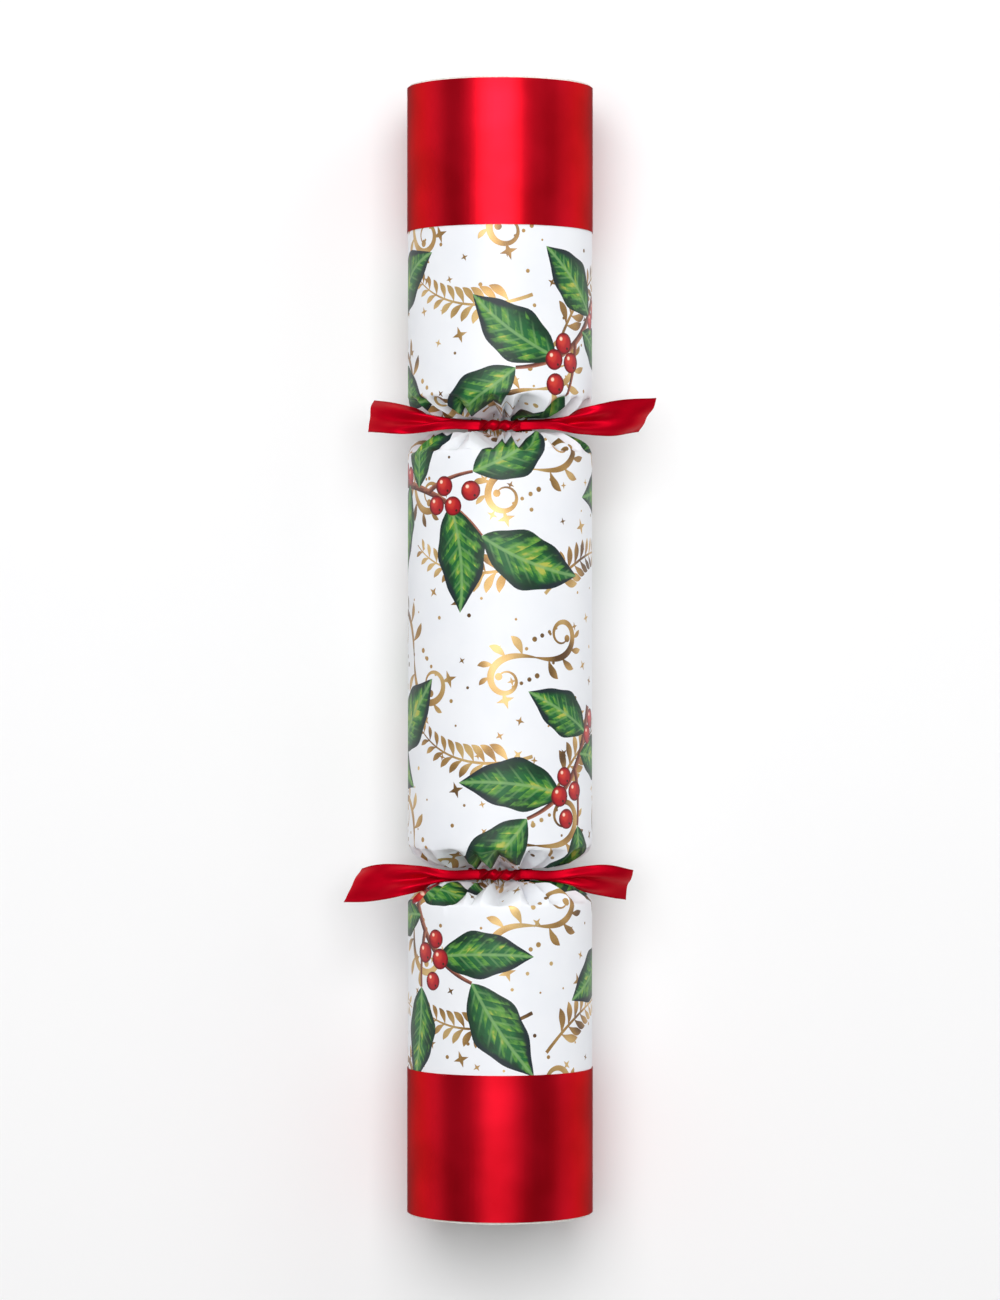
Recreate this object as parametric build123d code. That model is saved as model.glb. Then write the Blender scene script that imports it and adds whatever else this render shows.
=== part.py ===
from build123d import *
import os
from math import cos, hypot, pi, radians, sin

# A table cracker lying on its side: a barrel and two ends of rolled card in one
# paper wrapper, choked to a gathered neck either side of the barrel and tied with
# ribbon. A pull on the ends slides the two snap strips apart and tears the wrapper
# at the barrel's shoulders.
#
# Frame: +X along the cracker, +Z up, origin under its middle on the table.
# Pieces are drawn about the cracker's own axis and lifted to the table at the end.

# Driving dimensions, in millimetres
outside_diameter = 50.5
barrel_length = 105.0
end_length = 84.0
neck_gap = 16.0

# Rolled card and wrapping, from the outside in
foil = 0.25
paper = 0.25
card_wall = 0.8
glue_gap = 0.05
foil_length = 39.0
card_edge = 0.5

# Gathered neck
shoulder_reach = 1.5
shoulder_drop = 0.7
tear_gap = 0.3
pleat_count = 18
pleat_depth = 3.0
pleat_wall = 0.9
fold_depth = 1.2
waist_length = 4.6

# Ribbon tie
ribbon_width = 10.0
ribbon_thickness = 0.4
ribbon_bunch = 3.6
bunch_thickness = 1.0
ribbon_slack = 0.1
knot_width = 6.0
knot_height = 3.6
knot_bevel = 0.9
tail_long = 40.0
tail_short = 35.0
tail_rise = 3.5
tail_droop = 9.0
tail_drift = 3.0
tail_twist = 24.0
tail_stations = 6
tail_opening = 0.8
tail_cut = 14.0

# Snap
strip_width = 7.0
strip_thickness = 0.35
strip_tuck = 1.0
snap_overlap = 40.0
patch_length = 14.0
patch_width = 5.0
patch_thickness = 0.06
patch_gap = 0.08
sleeve_length = 30.0
sleeve_wall = 0.2
sleeve_slack = 0.15
neck_slack = 0.3

# Paper crown, folded and curled against the barrel's wall
crown_width = 86.0
crown_ply = 0.3
crown_pitch = 0.6
crown_folds = 5
crown_start_angle = 222.0
crown_stop_angle = 306.0
crown_points = 2
crown_point_height = 9.0

# Motto, rolled
motto_length = 44.0
motto_sheet = 0.25
motto_pitch = 0.9
motto_core = 1.6
motto_half_turns = 6
motto_angle = 335.0
motto_shift = 18.0

# Gift: a turned spinning top
top_radius = 8.5
top_rim = 3.0
top_bevel = 0.8
top_shoulder = 3.2
top_cone = 7.0
spindle_radius = 1.7
spindle_length = 31.0
spindle_point = 3.0
spindle_crown = 1.0
spindle_fit = 0.02
top_shift = -20.0

rest_gap = 0.3

# Radii of the layers, from the outside in
foil_radius = outside_diameter / 2
wrapper_radius = foil_radius - foil - glue_gap
card_radius = wrapper_radius - paper - glue_gap
bore_radius = card_radius - card_wall

# Stations along the cracker, on the right-hand side
barrel_end = barrel_length / 2
end_start = barrel_end + neck_gap
end_stop = end_start + end_length
waist_middle = (barrel_end + end_start) / 2

# The neck is choked down onto the snap strip that passes through it
strip_offset = patch_thickness + patch_gap / 2
strip_reach = hypot(strip_width / 2, strip_offset + strip_thickness)
valley_bore = strip_reach + neck_slack
valley_radius = valley_bore + pleat_wall
peak_radius = valley_radius + pleat_depth
loop_radius = peak_radius + ribbon_slack

# The crown lies on the barrel's wall, and the spinning top on the crown
crown_radius = bore_radius - rest_gap
crown_hollow = crown_radius - crown_pitch * (crown_folds - 1) - crown_ply
top_height = -(crown_hollow - rest_gap - top_radius)


def barrel_axis_lift(shape):
    """The shape lifted from the cracker's axis to where it lies on the table."""
    return Pos(0, 0, foil_radius) * shape


def to_left(shape):
    """The left-hand copy of a right-hand shape, turned half round."""
    return Rot(0, 0, 180) * shape


def sleeve(outer_radius, wall, start, stop):
    """A round sleeve along X."""
    ring = Circle(outer_radius) - Circle(outer_radius - wall)
    return extrude(Plane.YZ.offset(start) * ring, stop - start)


def turned(outline):
    """A solid of revolution about X from edges drawn as (x, radius)."""
    return revolve(Plane.XZ * make_face(outline), Axis.X)


def wrapped_sleeve(start, stop, shoulder_at_start, shoulder_at_stop):
    """A paper sleeve from start to stop that folds in over the card where it has a shoulder."""
    outer = [(start, wrapper_radius), (stop, wrapper_radius)]
    if shoulder_at_start:
        outer.insert(0, (start - shoulder_reach, wrapper_radius - shoulder_drop))
    if shoulder_at_stop:
        outer.append((stop + shoulder_reach, wrapper_radius - shoulder_drop))
    inner = [(x, r - paper) for x, r in reversed(outer)]
    return turned(Polyline(*outer, *inner, close=True).edges())


def ring_corners(places):
    """Corners round the axis that take turns between the places given, each an (x, radius)."""
    step = radians(180 / pleat_count)
    corners = []
    for k in range(2 * pleat_count):
        x, r = places[k % len(places)]
        corners.append(Vector(x, r * cos(step * k), r * sin(step * k)))
    return corners


def folded_solid(rings):
    """A solid with flat facets between rings of corners, creased from each even corner to the next ring's odd ones."""
    count = len(rings[0])
    facets = [rings[0], rings[-1]]
    for near, far in zip(rings, rings[1:]):
        for k in range(count):
            after = (k + 1) % count
            if k % 2 == 0:
                facets += [[near[k], near[after], far[after]], [near[k], far[after], far[k]]]
            else:
                facets += [[near[k], near[after], far[k]], [near[after], far[after], far[k]]]
    return Solid(Shell([Face(Wire.make_polygon(corners)) for corners in facets]))


def gathered_neck():
    """The right-hand neck: paper pleated from the torn edge to the waist and out to the end's shoulder."""
    rim = wrapper_radius - shoulder_drop
    torn_edge = barrel_end + shoulder_reach + tear_gap
    end_edge = end_start - shoulder_reach
    waist_start = waist_middle - waist_length / 2
    waist_stop = waist_middle + waist_length / 2
    slope_radius = (rim + peak_radius) / 2

    def surface(inset):
        def slope(rim_x, waist_x, towards_waist):
            x = (rim_x + waist_x) / 2
            fold = towards_waist * fold_depth / 2
            return [(x + fold, slope_radius - inset), (x - fold, slope_radius - inset)]

        def waist(x):
            return [(x, peak_radius - inset), (x, valley_radius - inset)]

        places = [
            [(torn_edge, rim - inset)],
            slope(torn_edge, waist_start, 1),
            waist(waist_start),
            waist(waist_stop),
            slope(end_edge, waist_stop, -1),
            [(end_edge, rim - inset)],
        ]
        return folded_solid([ring_corners(p) for p in places])

    return surface(0) - surface(pleat_wall)


def end_wrapper():
    """The right-hand end's wrapper with the gathered neck that tears away with it."""
    return wrapped_sleeve(end_start, end_stop - card_edge, True, False) + gathered_neck()


def ribbon_tail(side, length):
    """One free tail of the tie, bunched at the knot and opening to the ribbon's width."""
    knot_middle = loop_radius + bunch_thickness + knot_height / 2

    def place(s):
        return Vector(
            waist_middle + tail_drift * s**2,
            side * length * s,
            knot_middle + tail_rise * sin(pi * s) - tail_droop * s**2,
        )

    sections = []
    for k in range(tail_stations):
        s = k / (tail_stations - 1)
        step = 0.5 / tail_stations
        along = (place(s + step) - place(s - step)).normalized()
        across = Vector(1, 0, 0).rotate(Axis((0, 0, 0), along), side * tail_twist * s)
        if k == tail_stations - 1:
            across = across.rotate(Axis((0, 0, 0), along.cross(across)), tail_cut)
        through = along.cross(across).normalized()
        opened = min(1, s / tail_opening)
        opened = opened**2 * (3 - 2 * opened)
        half_width = (ribbon_bunch + (ribbon_width - ribbon_bunch) * opened) / 2
        half_depth = (bunch_thickness + (ribbon_thickness - bunch_thickness) * opened) / 2
        signs = ((1, 1), (-1, 1), (-1, -1), (1, -1))
        sections.append([place(s) + across * half_width * i + through * half_depth * j for i, j in signs])
    return folded_solid(sections)


def ribbon():
    """The right-hand ribbon: its loop round the waist, its knot on top and its two tails."""
    loop = Pos(waist_middle, 0, 0) * sleeve(
        loop_radius + bunch_thickness, bunch_thickness, -ribbon_bunch / 2, ribbon_bunch / 2
    )
    knot = chamfer(Box(ribbon_bunch, knot_width, knot_height).edges(), knot_bevel)
    knot_middle = loop_radius + bunch_thickness + knot_height / 2
    seated = Pos(waist_middle, 0, knot_middle - bunch_thickness / 2) * knot
    return loop + seated + ribbon_tail(1, tail_short) + ribbon_tail(-1, tail_long)


def slab(length, width, thickness, x, z):
    """A flat strip along X with its lower face at height z above the axis."""
    return Pos(x, 0, z + thickness / 2) * Box(length, width, thickness)


def snap_strip():
    """The right-hand snap strip, from the far side of the overlap to the end's shoulder."""
    start = -snap_overlap / 2
    stop = end_start - strip_tuck
    return slab(stop - start, strip_width, strip_thickness, (start + stop) / 2, -strip_offset - strip_thickness)


def snap_patch():
    """The coating on the right-hand strip's upper face, in the middle of the overlap."""
    return slab(patch_length, patch_width, patch_thickness, 0, -strip_offset)


def snap_sleeve():
    """The paper band round both strips where they overlap."""
    inner_height = 2 * (strip_offset + strip_thickness + sleeve_slack)
    inner_width = strip_width + 2 * sleeve_slack
    inside = Box(sleeve_length, inner_width, inner_height)
    return Box(sleeve_length, inner_width + 2 * sleeve_wall, inner_height + 2 * sleeve_wall) - inside


def ring_sector(inner, outer, start, stop):
    """A flat sector of a ring about the axis."""
    first = [(r * cos(radians(start)), r * sin(radians(start))) for r in (inner, outer)]
    last = [(r * cos(radians(stop)), r * sin(radians(stop))) for r in (inner, outer)]
    return make_face(
        [
            CenterArc((0, 0), outer, start, stop - start),
            CenterArc((0, 0), inner, start, stop - start),
            Line(*first),
            Line(*last),
        ]
    )


def paper_crown():
    """The tissue crown: one sheet folded back and forth along the barrel's wall, its points at one end."""
    outermost = crown_radius - crown_ply / 2
    radii = [outermost - crown_pitch * k for k in range(crown_folds)]
    folded = Sketch()
    for k, r in enumerate(radii):
        folded += ring_sector(r - crown_ply / 2, r + crown_ply / 2, crown_start_angle, crown_stop_angle)
        if k + 1 < crown_folds:
            turn_at, way = (crown_stop_angle, 0) if k % 2 == 0 else (crown_start_angle, 180)
            middle = r - crown_pitch / 2
            bend = ring_sector((crown_pitch - crown_ply) / 2, (crown_pitch + crown_ply) / 2, way, way + 180)
            folded += Rot(0, 0, turn_at) * Pos(middle, 0, 0) * bend
    packet = extrude(Plane.YZ.offset(-crown_width / 2) * folded, crown_width)

    facing = (crown_start_angle + crown_stop_angle) / 2
    half_chord = bore_radius * sin(radians(crown_stop_angle - crown_start_angle) / 2) + crown_pitch
    tip = crown_width / 2
    root = tip - crown_point_height
    spacing = 2 * half_chord / crown_points
    zigzag = [(tip, -half_chord), (root, -half_chord)]
    for k in range(crown_points):
        zigzag.append((tip, -half_chord + spacing * (k + 0.5)))
        zigzag.append((root, -half_chord + spacing * (k + 1)))
    zigzag.append((tip, half_chord))
    cutter_plane = Plane((0, 0, 0), x_dir=(1, 0, 0), z_dir=(0, cos(radians(facing)), sin(radians(facing))))
    cutters = Sketch()
    for k in range(crown_points + 1):
        corners = [zigzag[2 * k], zigzag[2 * k + 1], zigzag[2 * k + 2]]
        cutters += make_face(Polyline(*corners, close=True))
    return packet - extrude(cutter_plane * cutters, bore_radius)


def motto_scroll():
    """The rolled motto: a spiral of half turns, lying in the angle of the barrel's wall."""
    spiral = Sketch()
    for k in range(motto_half_turns):
        radius = motto_core + motto_pitch / 2 * k
        centre = 0 if k % 2 == 0 else motto_pitch / 2
        half_turn = ring_sector(radius - motto_sheet / 2, radius + motto_sheet / 2, 180 * (k % 2), 180 * (k % 2) + 180)
        spiral += Pos(centre, 0, 0) * half_turn
    outermost = motto_core + motto_pitch / 2 * motto_half_turns + motto_sheet / 2
    lie = bore_radius - rest_gap - outermost
    roll = extrude(Plane.YZ * spiral, motto_length)
    lie_y = lie * cos(radians(motto_angle))
    lie_z = lie * sin(radians(motto_angle))
    return Pos(motto_shift - motto_length / 2, lie_y, lie_z) * roll


def top_disc():
    """The turned disc of the spinning top, bored for its spindle."""
    hole = spindle_radius + spindle_fit
    half_rim = top_rim / 2
    back = -half_rim - top_shoulder
    front = half_rim + top_cone
    outline = Polyline(
        (back, hole),
        (back, top_radius / 2),
        (-half_rim, top_radius - top_bevel),
        (-half_rim + top_bevel, top_radius),
        (half_rim - top_bevel, top_radius),
        (half_rim, top_radius - top_bevel),
        (front, hole + spindle_radius / 2),
        (front, hole),
        close=True,
    )
    return Pos(top_shift, 0, top_height) * turned(outline.edges())


def top_spindle():
    """The dowel through the disc, pointed to spin on and bevelled where it is twirled."""
    stop = top_rim / 2 + top_cone + spindle_point
    start = stop - spindle_length
    outline = Polyline(
        (start, 0),
        (start, spindle_radius - spindle_crown),
        (start + spindle_crown, spindle_radius),
        (stop - spindle_point, spindle_radius),
        (stop, 0),
        close=True,
    )
    return Pos(top_shift, 0, top_height) * turned(outline.edges())


def nodes():
    """Every piece of the cracker by name, about the cracker's axis."""
    end_tube = sleeve(card_radius, card_wall, end_start, end_stop)
    foil_band = sleeve(foil_radius, foil, end_stop - card_edge - foil_length, end_stop - card_edge)
    wrapper = end_wrapper()
    tie = ribbon()
    over_the_axis = Rot(180, 0, 0)
    return {
        "barrel_tube": sleeve(card_radius, card_wall, -barrel_end, barrel_end),
        "barrel_wrapper": wrapped_sleeve(-barrel_end, barrel_end, True, True),
        "paper_crown": paper_crown(),
        "motto_scroll": motto_scroll(),
        "spinning_top_disc": top_disc(),
        "spinning_top_spindle": top_spindle(),
        "left_end_tube": to_left(end_tube),
        "left_wrapper": to_left(wrapper),
        "left_foil_band": to_left(foil_band),
        "left_ribbon": to_left(tie),
        "left_snap_strip": to_left(over_the_axis * snap_strip()),
        "snap_grit_patch": to_left(over_the_axis * snap_patch()),
        "right_end_tube": end_tube,
        "right_wrapper": wrapper,
        "right_foil_band": foil_band,
        "right_ribbon": tie,
        "right_snap_strip": snap_strip(),
        "snap_charge_patch": snap_patch(),
        "snap_sleeve": snap_sleeve(),
    }


os.makedirs("parts", exist_ok=True)
for name, shape in nodes().items():
    export_step(barrel_axis_lift(shape), f"parts/{name}.step")
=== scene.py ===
"""The looks of a table cracker: printed paper, gathered necks, foil bands, satin ties and the contents."""

import bisect
import cmath
import logging
import math
import random
from collections import Counter
from dataclasses import dataclass
from enum import Enum
from itertools import accumulate
from typing import Any, Callable, Iterable, Sequence

import bpy
from mathutils import Matrix, Vector, noise
from mathutils.geometry import delaunay_2d_cdt


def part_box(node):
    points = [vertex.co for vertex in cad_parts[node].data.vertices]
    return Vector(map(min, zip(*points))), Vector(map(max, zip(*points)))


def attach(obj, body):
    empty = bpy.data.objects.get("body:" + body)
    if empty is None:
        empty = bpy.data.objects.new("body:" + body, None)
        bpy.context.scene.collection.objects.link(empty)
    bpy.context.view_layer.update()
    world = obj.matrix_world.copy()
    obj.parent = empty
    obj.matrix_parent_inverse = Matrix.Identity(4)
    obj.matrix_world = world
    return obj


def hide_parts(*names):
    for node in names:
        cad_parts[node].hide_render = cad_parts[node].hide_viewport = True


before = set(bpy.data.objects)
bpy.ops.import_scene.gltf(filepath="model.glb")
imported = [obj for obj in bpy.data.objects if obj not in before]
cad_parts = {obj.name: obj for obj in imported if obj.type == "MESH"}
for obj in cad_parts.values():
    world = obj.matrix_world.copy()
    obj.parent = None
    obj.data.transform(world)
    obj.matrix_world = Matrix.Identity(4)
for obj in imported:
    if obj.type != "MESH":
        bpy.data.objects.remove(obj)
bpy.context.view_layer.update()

log = logging.getLogger("cracker")

MM = 0.001
LEAF_FULLNESS = 0.85
GOLD_TONE = 0.5
STAR_TURN = 0.3
ALONG = Vector((1.0, 0.0, 0.0))

Colour = tuple[float, float, float, float]
Operand = Any
Material = bpy.types.Material
Piece = bpy.types.Object
Values = dict[Any, Any] | None
Pair = tuple[float, float]
Cell = tuple[complex, random.Random, int, int]


class Side(Enum):
    """The two ends of the cracker, as signs of X."""

    LEFT = -1
    RIGHT = 1

    @property
    def word(self) -> str:
        """The side's name as it stands in names of pieces and bodies."""
        return self.name.lower()


class Ink(Enum):
    """What covers a stretch of the printed sheet, in the order of its material slots."""

    PAPER = 0
    GOLD = 1
    TWIG = 2
    LEAF = 3
    BERRY = 4
    BACK = 5


def smooth(low: float, high: float, value: float) -> float:
    """Return an eased 0 to 1 as value goes from low to high."""
    share = min(1.0, max(0.0, (value - low) / (high - low)))
    return share * share * (3.0 - 2.0 * share)


def between(first: Any, second: Any, share: float) -> Any:
    """Return the value that lies that share of the way from first to second."""
    return first + (second - first) * share


def paint(red: int, green: int, blue: int) -> Colour:
    """Return a screen colour, 0 to 255 a channel, as linear light."""
    shares = (level / 255.0 for level in (red, green, blue))
    return (*(s / 12.92 if s <= 0.04045 else ((s + 0.055) / 1.055) ** 2.4 for s in shares), 1.0)


def put_in_scene(name: str, data: bpy.types.ID) -> Piece:
    """Make an object.

    Args:
        name: Its name.
        data: What it holds.

    Returns:
        The object, linked into the scene.
    """
    made = bpy.data.objects.new(name, data)
    bpy.context.scene.collection.objects.link(made)
    return made


class Socket:
    """One output of a node, on which arithmetic adds Math nodes."""

    def __init__(self, sheet: "NodeSheet", output: bpy.types.NodeSocket) -> None:
        """Keep the output and the sheet of nodes that it stands on."""
        self.sheet = sheet
        self.output = output

    def __add__(self, other: Operand) -> "Socket":
        """Add."""
        return self.sheet.math("ADD", self, other)

    __radd__ = __add__

    def __sub__(self, other: Operand) -> "Socket":
        """Subtract."""
        return self.sheet.math("SUBTRACT", self, other)

    def __rsub__(self, other: Operand) -> "Socket":
        """Subtract this from a number."""
        return self.sheet.math("SUBTRACT", other, self)

    def __mul__(self, other: Operand) -> "Socket":
        """Multiply."""
        return self.sheet.math("MULTIPLY", self, other)

    __rmul__ = __mul__

    def __truediv__(self, other: Operand) -> "Socket":
        """Divide."""
        return self.sheet.math("DIVIDE", self, other)

    def __rtruediv__(self, other: Operand) -> "Socket":
        """Divide a number by this."""
        return self.sheet.math("DIVIDE", other, self)

    def __pow__(self, other: Operand) -> "Socket":
        """Raise to a power."""
        return self.sheet.math("POWER", self, other)

    def __abs__(self) -> "Socket":
        """Drop the sign."""
        return self.sheet.math("ABSOLUTE", self)

    def most(self, other: Operand) -> "Socket":
        """Return the larger of the two."""
        return self.sheet.math("MAXIMUM", self, other)

    def rise(self, low: Operand, high: Operand) -> "Socket":
        """Return an eased 0 to 1 as this goes from low to high."""
        values = {0: self, 1: low, 2: high}
        return self.sheet.add("ShaderNodeMapRange", {"interpolation_type": "SMOOTHSTEP"}, values)


class NodeSheet:
    """A tree of nodes with one way to add any node to it."""

    def __init__(self, tree: bpy.types.NodeTree) -> None:
        """Keep the tree."""
        self.tree = tree

    def add(self, kind: str, settings: Values = None, inputs: Values = None, output: int | str = 0) -> Socket:
        """Add a node.

        Args:
            kind: The node's type.
            settings: Its properties; "stops" are a colour ramp's places and colours.
            inputs: Values or links of its sockets, by index or name.
            output: Which of its outputs to return.

        Returns:
            The output asked for.
        """
        node = self.tree.nodes.new(kind)
        for name, value in (settings or {}).items():
            if name == "stops":
                self._set_stops(node.color_ramp, value)
            else:
                setattr(node, name, value)
        for key, value in (inputs or {}).items():
            if isinstance(value, Socket):
                self.tree.links.new(value.output, node.inputs[key])
            else:
                node.inputs[key].default_value = value
        return Socket(self, node.outputs[output])

    @staticmethod
    def _set_stops(ramp: bpy.types.ColorRamp, stops: Sequence[tuple[float, Colour]]) -> None:
        """Give a colour ramp its stops.

        Args:
            ramp: The ramp.
            stops: The place and colour of each stop.
        """
        while len(ramp.elements) < len(stops):
            ramp.elements.new(1.0)
        for element, (place, colour) in zip(ramp.elements, stops):
            element.position = place
            element.color = colour

    def math(self, operation: str, *operands: Operand) -> Socket:
        """Return the result of a Math node."""
        return self.add("ShaderNodeMath", {"operation": operation}, dict(enumerate(operands)))

    def vector(self, x: Operand, y: Operand, z: Operand) -> Socket:
        """Return a vector of three values."""
        return self.add("ShaderNodeCombineXYZ", None, {0: x, 1: y, 2: z})

    def parts(self, vector: Socket) -> tuple[Socket, ...]:
        """Return a vector's three values."""
        node = self.add("ShaderNodeSeparateXYZ", None, {0: vector}).output.node
        return tuple(Socket(self, output) for output in node.outputs)

    def noise(self, spot: Sequence[Operand], scale: float, detail: float = 2.0, rough: float = 0.5) -> Socket:
        """Return a soft random value, about 0.2 to 0.8, over a place of three values."""
        values = {"Vector": self.vector(*spot), "Scale": scale, "Detail": detail, "Roughness": rough}
        return self.add("ShaderNodeTexNoise", None, values)


class ShaderSheet(NodeSheet):
    """A material's nodes round its Principled shader."""

    def __init__(self, name: str) -> None:
        """Make the material.

        Args:
            name: Its name.
        """
        self.material = bpy.data.materials.new(name)
        self.material.use_nodes = True
        super().__init__(self.material.node_tree)
        self.shader = self.tree.nodes["Principled BSDF"]

    def place(self) -> tuple[Socket, ...]:
        """Return X, Y and Z in millimetres in the object's frame."""
        spot = self.add("ShaderNodeTexCoord", None, None, "Object")
        return tuple(value / MM for value in self.parts(spot))

    def map(self, name: str) -> tuple[Socket, Socket]:
        """Return the two values of a UV map."""
        across, up, _ = self.parts(self.add("ShaderNodeUVMap", {"uv_map": name}))
        return across, up

    def mix(self, share: Operand, first: Operand, second: Operand) -> Socket:
        """Return a colour that share of the way from first to second."""
        settings = {"data_type": "RGBA", "clamp_factor": True}
        return self.add("ShaderNodeMix", settings, {0: share, 6: first, 7: second}, 2)

    def bump(self, height: Socket, depth_mm: float, strength: float = 1.0) -> Socket:
        """Return a normal for a height of 0 to 1 that stands depth_mm deep."""
        values = {"Height": height, "Distance": depth_mm * MM, "Strength": strength}
        return self.add("ShaderNodeBump", None, values)

    def dress(self, **sockets: Operand) -> Material:
        """Set the shader's sockets.

        Args:
            sockets: A value or link for each socket, named with underscores for spaces.

        Returns:
            The material.
        """
        for name, value in sockets.items():
            socket = self.shader.inputs[name.replace("_", " ")]
            if isinstance(value, Socket):
                self.tree.links.new(value.output, socket)
            else:
                socket.default_value = value
        return self.material


class GeometrySheet(NodeSheet):
    """A Geometry Nodes tree with named inputs, turned into a plain mesh."""

    def __init__(self, name: str) -> None:
        """Make the empty tree with its way out.

        Args:
            name: The tree's name.
        """
        tree = bpy.data.node_groups.new(name, "GeometryNodeTree")
        tree.interface.new_socket("Geometry", in_out="OUTPUT", socket_type="NodeSocketGeometry")
        super().__init__(tree)
        self.way_in = tree.nodes.new("NodeGroupInput")
        self.way_out = tree.nodes.new("NodeGroupOutput")

    def value(self, name: str, kind: str = "Float") -> Socket:
        """Add a named input and return its socket."""
        self.tree.interface.new_socket(name, in_out="INPUT", socket_type="NodeSocket" + kind)
        return Socket(self, self.way_in.outputs[name])

    def close(self, geometry: Socket) -> None:
        """End the tree in Realize Instances and Set Material.

        Args:
            geometry: What the tree has made.
        """
        material = self.value("Finish", "Material")
        whole = self.add("GeometryNodeRealizeInstances", None, {0: geometry})
        dressed = self.add("GeometryNodeSetMaterial", None, {"Geometry": whole, "Material": material})
        self.tree.links.new(dressed.output, self.way_out.inputs[0])

    def make(self, name: str, inputs: dict[str, Any]) -> Piece:
        """Run the tree once.

        Args:
            name: The name of the new object.
            inputs: A value for each of the tree's named inputs.

        Returns:
            A mesh object with no modifier.
        """
        carrier = put_in_scene(name + ".tree", bpy.data.meshes.new(name + ".tree"))
        modifier = carrier.modifiers.new("Tree", "NODES")
        modifier.node_group = self.tree
        for item in self.tree.interface.items_tree:
            if item.in_out == "INPUT":
                modifier[item.identifier] = inputs[item.name]
        graph = bpy.context.evaluated_depsgraph_get()
        mesh = bpy.data.meshes.new_from_object(carrier.evaluated_get(graph))
        bpy.data.objects.remove(carrier)
        mesh.name = name
        return put_in_scene(name, mesh)


@dataclass(frozen=True)
class PaperFinish:
    """Coated white printing paper with a faint tooth."""

    name: str
    colour: Colour
    shade: Colour
    gloss: float
    cloud_scale: float = 0.09
    tooth_scale: float = 5.0
    tooth_depth: float = 0.012
    tooth_rough: float = 0.16

    def material(self) -> Material:
        """Mix the material.

        Returns:
            White paper, a little uneven.
        """
        sheet = ShaderSheet(self.name)
        spot = sheet.place()
        cloud = sheet.noise(spot, self.cloud_scale, 3.0)
        tooth = sheet.noise(spot, self.tooth_scale, 3.0, 0.6)
        colour = sheet.mix(cloud.rise(0.35, 0.75) * 0.5, self.colour, self.shade)
        rough = (1.0 - self.gloss) + (tooth - 0.5) * self.tooth_rough
        normal = sheet.bump(tooth, self.tooth_depth, 0.5)
        return sheet.dress(Base_Color=colour, Roughness=rough, Normal=normal, Specular_IOR_Level=0.4)


@dataclass(frozen=True)
class GoldInkFinish:
    """Metallic ink that runs from pale gold to brown along a stroke."""

    pale: Colour = paint(216, 184, 124)
    middle: Colour = paint(172, 134, 78)
    deep: Colour = paint(98, 70, 44)
    sweep_scale: float = 0.11
    grain_scale: float = 3.5
    grain_depth: float = 0.02
    metal: float = 0.45
    rough: float = 0.3

    def material(self) -> Material:
        """Mix the material.

        Returns:
            Gold with a fine grain.
        """
        sheet = ShaderSheet("gold_ink")
        across, along = sheet.map("Sheet")
        sweep = sheet.noise((across, along, 3.0), self.sweep_scale, 1.0)
        grain = sheet.noise((across, along, 0.0), self.grain_scale, 2.0, 0.7)
        tone = sweep * 1.5 - 0.25 + (grain - 0.5) * 0.35
        stops = [(0.2, self.deep), (0.48, self.middle), (0.8, self.pale)]
        colour = sheet.add("ShaderNodeValToRGB", {"stops": stops}, {0: tone})
        return sheet.dress(Base_Color=colour, Metallic=self.metal, Roughness=self.rough + grain * 0.2,
                           Normal=sheet.bump(grain, self.grain_depth, 0.4))


@dataclass(frozen=True)
class TwigInkFinish:
    """Painted bark: brown with a lit edge, dark underside and lengthwise strokes."""

    lit: Colour = paint(178, 118, 92)
    bark: Colour = paint(122, 66, 52)
    shadow: Colour = paint(58, 30, 30)
    rough: float = 0.42

    def material(self) -> Material:
        """Mix the material.

        Returns:
            Bark, lit from one side of the stroke.
        """
        sheet = ShaderSheet("twig_ink")
        along, across = sheet.map("Motif")
        strokes = sheet.noise((along * 0.5, across * 2.2, 1.0), 1.0, 3.0, 0.6)
        tone = across * 0.42 + 0.5 + (strokes - 0.5) * 1.1
        stops = [(0.1, self.shadow), (0.5, self.bark), (0.92, self.lit)]
        colour = sheet.add("ShaderNodeValToRGB", {"stops": stops}, {0: tone})
        return sheet.dress(Base_Color=colour, Roughness=self.rough + strokes * 0.12, Specular_IOR_Level=0.4)


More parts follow.
